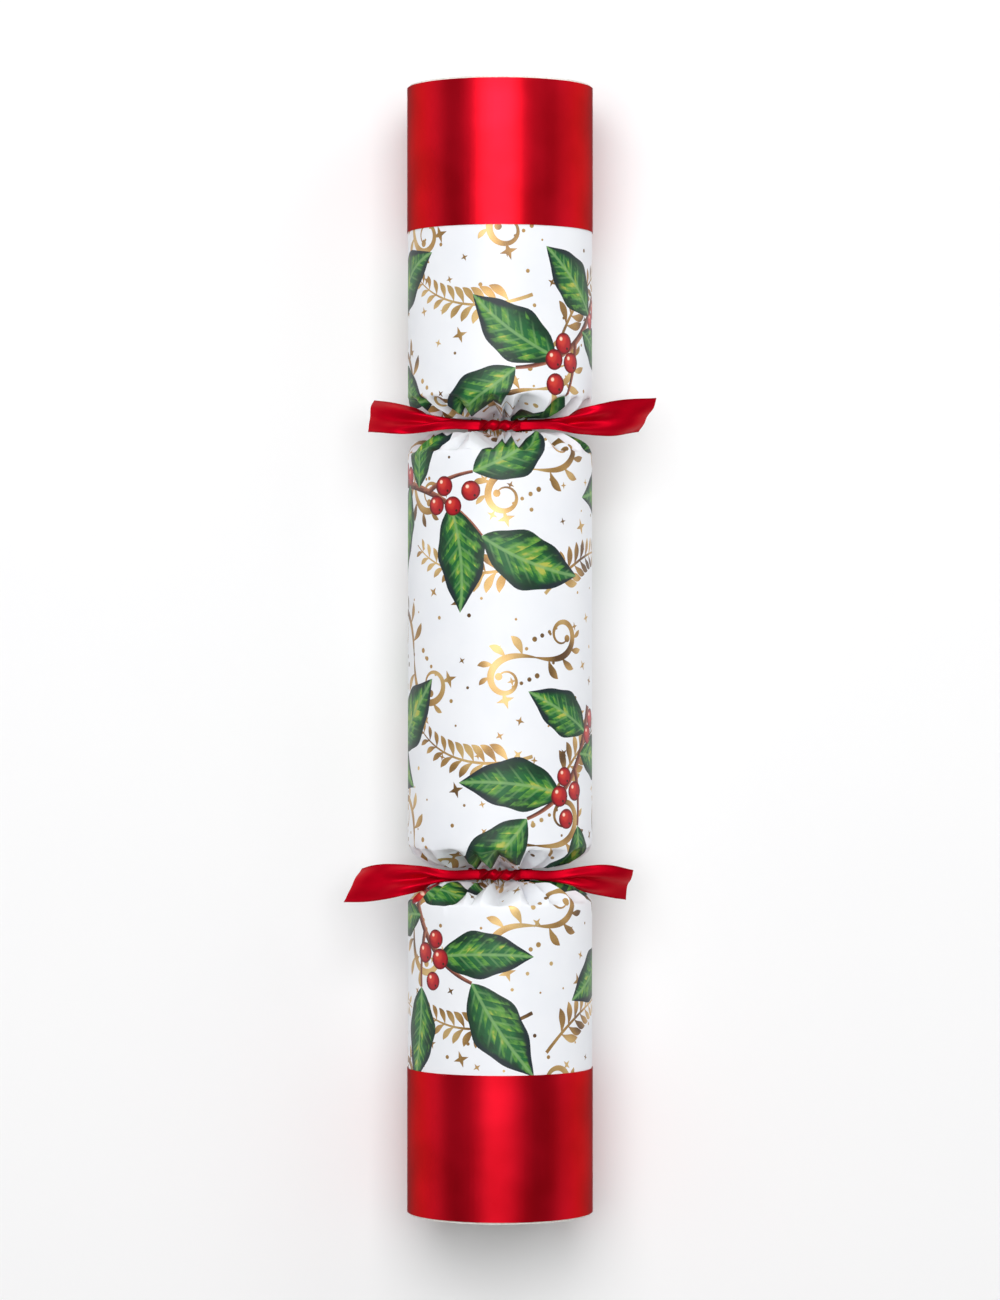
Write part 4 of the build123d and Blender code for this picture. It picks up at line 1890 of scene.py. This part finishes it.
@dataclass
class RibbonTie:
    """A satin ribbon: once round the neck, one half-knot on top and two flaring tails, in millimetres."""

    sizes: CrackerSizes
    side: Side
    finish: Material
    width: float = 10.0
    wall: float = 0.2
    folds: int = 4
    fold_shares: Pair = (0.7, 1.3)
    columns_per_fold: int = 4
    stack_half: float = 0.55
    stack_lean: float = 82.0
    stack_ratios: Pair = (0.15, 0.8)
    ripple: float = 1.7
    ripple_rates: Pair = (0.09, 1.6)
    loop_radius: float = 8.45
    loop_steps: int = 72
    twist_radius: float = 0.62
    twist_angle: float = 33.0
    twist_turns: float = 1.5
    twist_ease: float = 0.35
    twist_steps: int = 54
    long_tail: float = 40.0
    short_tail: float = 35.0
    tail_half: float = 4.97
    tail_spread: Pair = (9.5, 33.0)
    tail_drift: float = 3.0
    tail_roll: float = 26.0
    tail_roll_start: float = 0.25
    tail_leave: Pair = (6.0, -1.0)
    tail_arch: Pair = (0.3, 0.62)
    tail_arch_height: float = 13.5
    tail_tip: float = 2.4
    tail_steps: int = 46
    slant: float = 3.4
    slant_reach: float = 14.0

    def build(self, rests_on: Piece) -> None:
        """Make the ribbon and tie it on.

        Args:
            rests_on: The paper under it; not used.
        """
        stations, lengths = self._way()
        total = lengths[-1]
        columns = self.folds * self.columns_per_fold
        rng = random.Random(f"ribbon {self.side.word}")
        shares = [rng.uniform(*self.fold_shares) for _ in range(self.folds)]
        breaks = [sum(shares[:k]) / sum(shares) for k in range(self.folds + 1)]
        points = []
        places = []
        for station, length in zip(stations, lengths):
            for column in range(columns + 1):
                fold = min(column // self.columns_per_fold, self.folds - 1)
                part = column - fold * self.columns_per_fold
                share = between(breaks[fold], breaks[fold + 1], part / self.columns_per_fold)
                points.append(self._spot(station, length, total, share, breaks, fold))
                places.append(((share - 0.5) * self.width, length))
        faces = grid_faces(len(stations) - 1, columns)
        if self.side is Side.LEFT:
            points = [Vector((-point.x, -point.y, point.z)) for point in points]
        ribbon = mesh_object(f"{self.side.word}_satin_ribbon", points, faces, [self.finish])
        add_map(ribbon, "Sheet", [places[corner] for face in faces for corner in face])
        thicken(ribbon, self.wall, 0.0)
        settle(ribbon, f"{self.side.word}_end", f"{self.side.word}_ribbon", "red_satin")
        self.width * MM
        total * MM

    def _spot(
        self, station: Station, length: float, total: float, share: float, breaks: Sequence[float], fold: int
    ) -> Vector:
        """Return a point of the folded strip.

        Args:
            station: The place on the strip's way.
            length: The way so far.
            total: The whole way.
            share: How far across the flat strip the point lies, 0 to 1.
            breaks: Where the strip's lengthwise folds lie, as such shares.
            fold: Which fold the point lies in.

        Returns:
            The point in millimetres.
        """
        flat = self.width / 2.0
        ratio = min(1.0, station.half_width / flat)
        steep = math.sqrt(1.0 - ratio * ratio)
        panel = (breaks[fold + 1] - breaks[fold]) * self.width
        part = (share - breaks[fold]) / (breaks[fold + 1] - breaks[fold])
        swing = math.cos(math.pi * part) * (1.0 if fold % 2 else -1.0)
        along_rate, across_rate = self.ripple_rates
        ripple = noise.noise(Vector((length * along_rate, share * across_rate, self.side.value * 4.0)))
        height = swing * panel * 0.5 * steep + ripple * self.ripple * ratio * ratio
        reach = (share - 0.5) * self.width * ratio
        lean = math.radians(self.stack_lean) * (1.0 - smooth(*self.stack_ratios, ratio))
        across = station.across * math.cos(lean) + station.out * math.sin(lean)
        out = station.out * math.cos(lean) - station.across * math.sin(lean)
        near_end = 1.0 - min(length, total - length) / self.slant_reach
        slide = self.slant * (share - 0.5) * max(0.0, near_end) * (1.0 if length < total / 2.0 else -1.0)
        along = station.across.cross(station.out)
        return station.middle + across * reach + out * height + along * slide

    def _round(self, angle: float, radius: float) -> Vector:
        """Return a point round the neck, the angle in radians from the top towards +Y."""
        up = self.sizes.axis_height + radius * math.cos(angle)
        return Vector((self.sizes.waist, radius * math.sin(angle), up))

    def _way(self) -> tuple[list[Station], list[float]]:
        """Lay out the strip's way from tail to tail.

        Returns:
            The stations, and the way so far at each.
        """
        limit = math.radians(self.twist_angle)
        twist = self._twist(limit, math.pi / 2.0)
        back = self._twist(limit, -math.pi / 2.0)
        loop = []
        for step in range(1, self.loop_steps):
            angle = between(limit, 2.0 * math.pi - limit, step / self.loop_steps)
            out = -Vector((0.0, math.sin(angle), math.cos(angle)))
            loop.append(Station(self._round(angle, self.loop_radius), ALONG, out, self.stack_half))
        first = self._tail(-1.0, self.long_tail, twist[0])[::-1]
        second = self._tail(1.0, self.short_tail, back[-1])
        way = first + twist + loop + back + second
        way = [self._turned(station, way, k) for k, station in enumerate(way)]
        return way, run_lengths([station.middle for station in way])

    @staticmethod
    def _turned(station: Station, way: Sequence[Station], k: int) -> Station:
        """Turn a station's directions square to the strip's way.

        Args:
            station: The station.
            way: All stations.
            k: Its number.

        Returns:
            The turned station.
        """
        ahead = (way[min(k + 1, len(way) - 1)].middle - way[max(k - 1, 0)].middle).normalized()
        out = (station.out - ahead * station.out.dot(ahead)).normalized()
        return Station(station.middle, out.cross(ahead), out, station.half_width)

    def _twist(self, limit: float, start: float) -> list[Station]:
        """Lay out one strand of the half-knot.

        Args:
            limit: How far to each side it reaches, in radians.
            start: Where it begins to wind round the other, in radians.

        Returns:
            The stations.
        """
        strand = []
        for step in range(self.twist_steps + 1):
            share = step / self.twist_steps
            angle = between(-limit, limit, share)
            eased = between(share, smooth(0.0, 1.0, share), self.twist_ease)
            turn = start + self.twist_turns * 2.0 * math.pi * eased
            up = Vector((0.0, math.sin(angle), math.cos(angle)))
            out = up * math.sin(turn) + Vector((math.cos(turn), 0.0, 0.0))
            place = self._round(angle, self.loop_radius + self.twist_radius) + out * self.twist_radius
            strand.append(Station(place, ALONG, out, self.stack_half))
        return strand

    def _tail(self, way: float, length: float, root: Station) -> list[Station]:
        """Return a tail's stations from the knot outwards.

        Args:
            way: The sign of Y that it goes towards.
            length: How far out it reaches.
            root: The knot's station that it leaves.

        Returns:
            The stations, without the root.
        """
        start = Vector((0.0, abs(root.middle.y), root.middle.z - self.sizes.axis_height))
        drift_share, reach_share = self.tail_arch
        pulls = (
            start,
            start + Vector((0.0, *self.tail_leave)),
            Vector((self.tail_drift * drift_share, length * reach_share, self.tail_arch_height)),
            Vector((self.tail_drift, length, self.tail_tip)),
        )
        tail = []
        for step in range(1, self.tail_steps + 1):
            share = step / self.tail_steps
            spot = bend_at(pulls, share)
            radius = math.hypot(spot.y, spot.z)
            half = between(self.stack_half, self.tail_half, smooth(*self.tail_spread, radius))
            roll = math.radians(self.tail_roll) * smooth(self.tail_roll_start, 1.0, share) * way
            place = Vector((self.sizes.waist + spot.x, way * spot.y, self.sizes.axis_height + spot.z))
            tail.append(Station(place, ALONG, Vector((math.sin(roll), 0.0, math.cos(roll))), half))
        return tail


@dataclass
class Contents:
    """The card tubes, the rolled slip and the wooden top, which keep their CAD shapes.

    Each ring on the top has its inner and outer edge as shares of the disc's radius, and its colour.
    """

    sizes: CrackerSizes
    rings: tuple[tuple[float, float, Colour], ...] = (
        (0.4, 0.52, paint(186, 28, 34)),
        (0.66, 0.72, paint(198, 160, 82)),
        (0.84, 1.1, paint(36, 104, 58)),
    )

    def dress(self) -> None:
        """Give the CAD nodes their finishes."""
        height = self.sizes.axis_height
        card = CardFinish("tube_card", paint(239, 237, 232), paint(221, 217, 209), height).material()
        motto_paper = SlipFinish("motto_paper", paint(240, 236, 224), paint(222, 214, 196), 0.6).material()
        low, high = node_box("spinning_top_disc")
        axis_y = (low.y + high.y) / 2.0
        axis_z = (low.z + high.z) / 2.0
        reach = (high.z - low.z) / 2.0
        rings = tuple((reach * inner, reach * outer, colour) for inner, outer, colour in self.rings)
        dressing = {
            "barrel_tube": card,
            "left_end_tube": card,
            "right_end_tube": card,
            "motto_scroll": motto_paper,
            "spinning_top_disc": WoodFinish("turned_wood", axis_y, axis_z, rings).material(),
            "spinning_top_spindle": WoodFinish("dowel_wood", axis_y, axis_z).material(),
        }
        for node, material in dressing.items():
            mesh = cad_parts[node].data
            mesh.materials.clear()
            mesh.materials.append(material)
            log.info("%s: finish %s", node, material.name)


@dataclass
class SnapCard:
    """The snap's two card strips and the paper band round their overlap, in millimetres."""

    sizes: CrackerSizes
    rows: int = 120
    columns: int = 10
    corner: float = 1.3
    straight_half: float = 22.0
    bowed: Pair = (38.0, 40.0)
    bow: float = 0.45
    bow_rate: float = 0.06
    cup: float = 0.16
    band_wall: float = 0.12
    band_corner: float = 0.4
    band_corner_steps: int = 6
    band_lap: float = 3.0
    band_columns: int = 24
    band_puff: float = 0.03
    band_puff_rates: Pair = (0.3, 0.5)

    def build(self) -> None:
        """Make both strips and the band."""
        card = SlipFinish("snap_card", paint(196, 178, 146), paint(168, 146, 112), 0.75).material()
        paper = SlipFinish("snap_paper", paint(226, 220, 204), paint(204, 194, 174), 0.7).material()
        for side in Side:
            self._strip(side, card)
        self._band(paper)

    def _strip(self, side: Side, card: Material) -> None:
        """Cut one strip, a little bent between the band and the neck.

        Args:
            side: The end that the strip runs to.
            card: Its material.
        """
        node = f"{side.word}_snap_strip"
        low, high = node_box(node)
        middle = (low + high) / 2.0
        points = []
        for row in range(self.rows + 1):
            x = between(low.x, high.x, row / self.rows)
            short = max(0.0, self.corner - min(x - low.x, high.x - x))
            half = (high.y - low.y) / 2.0 - self.corner + math.sqrt(self.corner ** 2 - short ** 2)
            free = smooth(self.straight_half, self.bowed[0], abs(x))
            free -= smooth(self.bowed[1], self.sizes.barrel_end, abs(x))
            sway = noise.noise(Vector((x * self.bow_rate, side.value * 3.0, 0.0)))
            for column in range(self.columns + 1):
                share = 2.0 * column / self.columns - 1.0
                lift = free * (self.bow * (0.5 + sway) + self.cup * share * share)
                points.append(Vector((x, middle.y + half * share, middle.z + lift)))
        faces = grid_faces(self.rows, self.columns, turned=True)
        strip = mesh_object(f"{side.word}_snap_card", points, faces, [card])
        thicken(strip, high.z - low.z, 0.0)
        settle(strip, f"{side.word}_end", node, "snap_card")

    def _band(self, paper: Material) -> None:
        """Wrap the paper band, which laps over itself on top.

        Args:
            paper: Its material.
        """
        low, high = node_box("snap_sleeve")
        middle = (low + high) / 2.0
        half = (high - low) / 2.0 - Vector((0.0, 1.0, 1.0)) * self.band_wall / 2.0
        run = [Vector((-self.band_lap / 2.0, half.z + self.band_wall))]
        for quarter, (across, up) in enumerate(((1, 1), (1, -1), (-1, -1), (-1, 1))):
            hub = Vector((across * (half.y - self.band_corner), up * (half.z - self.band_corner)))
            for step in range(self.band_corner_steps + 1):
                angle = math.pi / 2.0 * (1.0 - quarter - step / self.band_corner_steps)
                run.append(hub + Vector((math.cos(angle), math.sin(angle))) * self.band_corner)
        run.append(Vector((self.band_lap / 2.0, half.z)))
        along_rate, across_rate = self.band_puff_rates
        points = []
        for spot in run:
            for column in range(self.band_columns + 1):
                x = between(low.x, high.x, column / self.band_columns)
                wave = noise.noise(Vector((x * along_rate, spot.x * across_rate, spot.y)))
                height = middle.z + spot.y * (1.0 + self.band_puff * wave)
                points.append(Vector((x, middle.y + spot.x, height)))
        faces = grid_faces(len(run) - 1, self.band_columns)
        band = mesh_object("snap_band", points, faces, [paper])
        thicken(band, self.band_wall, 0.0)
        settle(band, "right_end", "snap_sleeve", "snap_paper")


@dataclass
class SnapDabs:
    """The rubbing coat and the charge: thin dabs with grains over them, in millimetres."""

    grain: float = 0.11
    grain_gap: float = 0.16
    grain_scales: Pair = (0.35, 1.0)
    grain_flatness: float = 0.5
    grains_per_square_metre: float = 3.0e7
    place_seed: int = 4
    scale_seed: int = 7

    def build(self) -> None:
        """Make both dabs."""
        tree = self._tree()
        kinds = (
            ("snap_grit_patch", "left_end", "snap_grit", paint(92, 84, 78), paint(150, 140, 128)),
            ("snap_charge_patch", "right_end", "snap_charge", paint(120, 116, 108), paint(188, 182, 170)),
        )
        for node, body, slot, colour, grain in kinds:
            low, high = node_box(node)
            piece = tree.make(node.replace("patch", "dab"), {
                "Middle": (low + high) / 2.0 * MM,
                "Size": (high - low) * MM,
                "Grain": self.grain * MM,
                "Gap": self.grain_gap * MM,
                "Finish": GritFinish(slot, colour, grain).material(),
            })
            settle(piece, body, node, slot)

    def _tree(self) -> GeometrySheet:
        """Lay out the nodes that strew grains over a thin dab.

        Returns:
            The tree.
        """
        sheet = GeometrySheet("strewn_dab")
        middle = sheet.value("Middle", "Vector")
        size = sheet.value("Size", "Vector")
        grain = sheet.value("Grain")
        gap = sheet.value("Gap")
        base = sheet.add("GeometryNodeMeshCube", None, {
            "Size": size, "Vertices X": 24, "Vertices Y": 10, "Vertices Z": 2})
        spots = sheet.add("GeometryNodeDistributePointsOnFaces", {"distribute_method": "POISSON"}, {
            "Mesh": base, "Distance Min": gap, "Density Max": self.grains_per_square_metre,
            "Seed": self.place_seed})
        pebble = sheet.add("GeometryNodeMeshIcoSphere", None, {"Radius": grain * 0.5, "Subdivisions": 1})
        smallest, largest = self.grain_scales
        spread = sheet.add("FunctionNodeRandomValue", {"data_type": "FLOAT"}, {
            2: smallest, 3: largest, 8: self.scale_seed}, 1)
        flat = sheet.vector(spread, spread, spread * self.grain_flatness)
        strewn = sheet.add("GeometryNodeInstanceOnPoints", None, {
            "Points": spots, "Instance": pebble, "Scale": flat})
        joined = sheet.add("GeometryNodeJoinGeometry", None, {0: base})
        sheet.tree.links.new(strewn.output, joined.output.node.inputs[0])
        moved = sheet.add("GeometryNodeTransform", None, {"Geometry": joined, "Translation": middle})
        sheet.close(moved)
        return sheet


@dataclass
class TissueCrown:
    """The paper hat: a strip of tissue folded back and forth, with points along one side, in millimetres."""

    sizes: CrackerSizes
    finish: Material
    plies: int = 5
    ply_pitch: float = 0.6
    ply_steps: int = 40
    bend_steps: int = 6
    columns: int = 30
    wall: float = 0.1
    crinkle: float = 0.12
    crinkle_rates: Pair = (0.25, 0.4)
    point_height: float = 9.0
    point_count: int = 2
    start_angle: float = 222.0
    stop_angle: float = 306.0
    margin: float = 0.25

    def build(self) -> None:
        """Make the folded crown in the place of its CAD node."""
        low, high = node_box("paper_crown")
        way = self._way(self.sizes.axis_height - low.z - self.margin)
        lengths = run_lengths(way)
        ply_length = lengths[-1] / self.plies
        across_rate, along_rate = self.crinkle_rates
        points = []
        places = []
        for spot, length in zip(way, lengths):
            wave = abs((length / ply_length * self.point_count) % 1.0 - 0.5) * 2.0
            edge = high.x - self.margin - self.point_height * wave
            for column in range(self.columns + 1):
                x = between(low.x + self.margin, edge, column / self.columns)
                crinkle = noise.noise(Vector((x * across_rate, length * along_rate, 1.0))) * self.crinkle
                lift = crinkle * Vector((0.0, spot.x, spot.y)).normalized()
                points.append(Vector((x, spot.x, self.sizes.axis_height + spot.y)) + lift)
                places.append((x, length))
        faces = grid_faces(len(way) - 1, self.columns, turned=True)
        crown = mesh_object("tissue_crown", points, faces, [self.finish])
        add_map(crown, "Sheet", [places[corner] for face in faces for corner in face])
        thicken(crown, self.wall, 0.0)
        settle(crown, "barrel", "paper_crown", "crown_tissue")

    def _way(self, outer: float) -> list[Vector]:
        """Lay out the folded strip, ply by ply inwards.

        Args:
            outer: The radius of the first ply.

        Returns:
            The points, as Y and height over the axis.
        """
        half_pitch = self.ply_pitch * 0.5
        way = []
        for ply in range(self.plies):
            radius = outer - self.ply_pitch * ply
            ends = (self.start_angle, self.stop_angle)
            first, last = ends if ply % 2 == 0 else ends[::-1]
            for step in range(self.ply_steps + 1):
                angle = math.radians(between(first, last, step / self.ply_steps))
                way.append(Vector((radius * math.cos(angle), radius * math.sin(angle))))
            if ply == self.plies - 1:
                break
            hub = radius - half_pitch
            away = 1.0 if last > first else -1.0
            for step in range(1, self.bend_steps):
                turn = math.pi * step / self.bend_steps
                angle = math.radians(last) + away * math.sin(turn) * half_pitch / hub
                reach = hub + math.cos(turn) * half_pitch
                way.append(Vector((reach * math.cos(angle), reach * math.sin(angle))))
        return way


@dataclass
class Studio:
    """The pale floor, the soft lamps and the camera that looks straight down, in metres."""

    camera_height: float = 1.2
    lens: float = 120.0
    sensor: float = 36.0
    nearest: float = 0.01
    key_place: tuple[float, float, float] = (0.4, 0.06, 1.35)
    key_size: float = 1.1
    key_power: float = 19.0
    fill_place: tuple[float, float, float] = (0.9, -1.1, 0.9)
    fill_size: float = 0.8
    fill_power: float = 3.0
    world_level: float = 0.22
    horizon_level: float = 0.9
    horizon_rise: Pair = (0.1, 0.38)
    floor_size: float = 6.0

    def build(self) -> None:
        """Set up the stage."""
        scene = bpy.context.scene
        scene.view_settings.view_transform = "Standard"
        self._floor()
        self._lamp("key", Vector(self.key_place), self.key_size, self.key_power)
        self._lamp("fill", Vector(self.fill_place), self.fill_size, self.fill_power)
        scene.world = self._sky()
        lens = bpy.data.cameras.new("camera")
        lens.lens = self.lens
        lens.sensor_width = self.sensor
        lens.clip_start = self.nearest
        camera = put_in_scene("camera", lens)
        camera.location = (0.0, 0.0, self.camera_height)
        camera.rotation_euler = (0.0, 0.0, -math.pi / 2.0)
        scene.camera = camera

    def _sky(self) -> bpy.types.World:
        """Make the surroundings.

        Returns:
            A world that is pale at the horizon and dimmer overhead.
        """
        world = bpy.data.worlds.new("studio")
        world.use_nodes = True
        sheet = NodeSheet(world.node_tree)
        rise = sheet.parts(sheet.add("ShaderNodeTexCoord", None, None, "Generated"))[2]
        dimming = rise.rise(*self.horizon_rise)
        level = self.horizon_level + dimming * (self.world_level - self.horizon_level)
        shown = world.node_tree.nodes["Background"]
        shown.inputs["Color"].default_value = (1.0, 1.0, 1.0, 1.0)
        sheet.tree.links.new(level.output, shown.inputs["Strength"])
        return world

    def _lamp(self, name: str, spot: Vector, size: float, power: float) -> None:
        """Hang a square soft lamp that points at the cracker.

        Args:
            name: Its name.
            spot: Where it hangs.
            size: The length of its side.
            power: Its power in watts.
        """
        light = bpy.data.lights.new(name, "AREA")
        light.size = size
        light.energy = power
        lamp = put_in_scene(name, light)
        lamp.visible_camera = False
        lamp.matrix_world = Matrix.Translation(spot) @ (-spot).to_track_quat("-Z", "Y").to_matrix().to_4x4()

    def _floor(self) -> None:
        """Lay the floor just under the cracker."""
        half = self.floor_size / 2.0 / MM
        corners = [Vector((x * half, y * half, 0.0)) for x, y in ((-1, -1), (1, -1), (1, 1), (-1, 1))]
        floor = mesh_object("floor", corners, [(0, 1, 2, 3)], [FloorFinish().material()])


def print_finishes() -> list[Material]:
    """Return the printed sheet's materials in the order of Ink."""
    return [
        PaperFinish("printed_paper", paint(236, 238, 242), paint(229, 232, 238), 0.5).material(),
        GoldInkFinish().material(),
        TwigInkFinish().material(),
        LeafInkFinish().material(),
        BerryInkFinish().material(),
        PaperFinish("paper_back", paint(234, 233, 229), paint(222, 221, 216), 0.2).material(),
    ]


def main() -> None:
    """Build the studio and the cracker, piece by piece."""
    logging.basicConfig(level=logging.INFO, format="%(name)s %(message)s")
    Studio().build()
    sizes = CrackerSizes.from_frame()
    papers = Wrapping(sizes, print_finishes()).build()
    FoilBands(sizes, FoilFinish().material()).build()
    satin = SatinFinish().material()
    for side in Side:
        RibbonTie(sizes, side, satin).build(papers[side.word])
    Contents(sizes).dress()
    SnapCard(sizes).build()
    SnapDabs().build()
    TissueCrown(sizes, TissueFinish().material()).build()


if __name__ == "__main__":
    main()
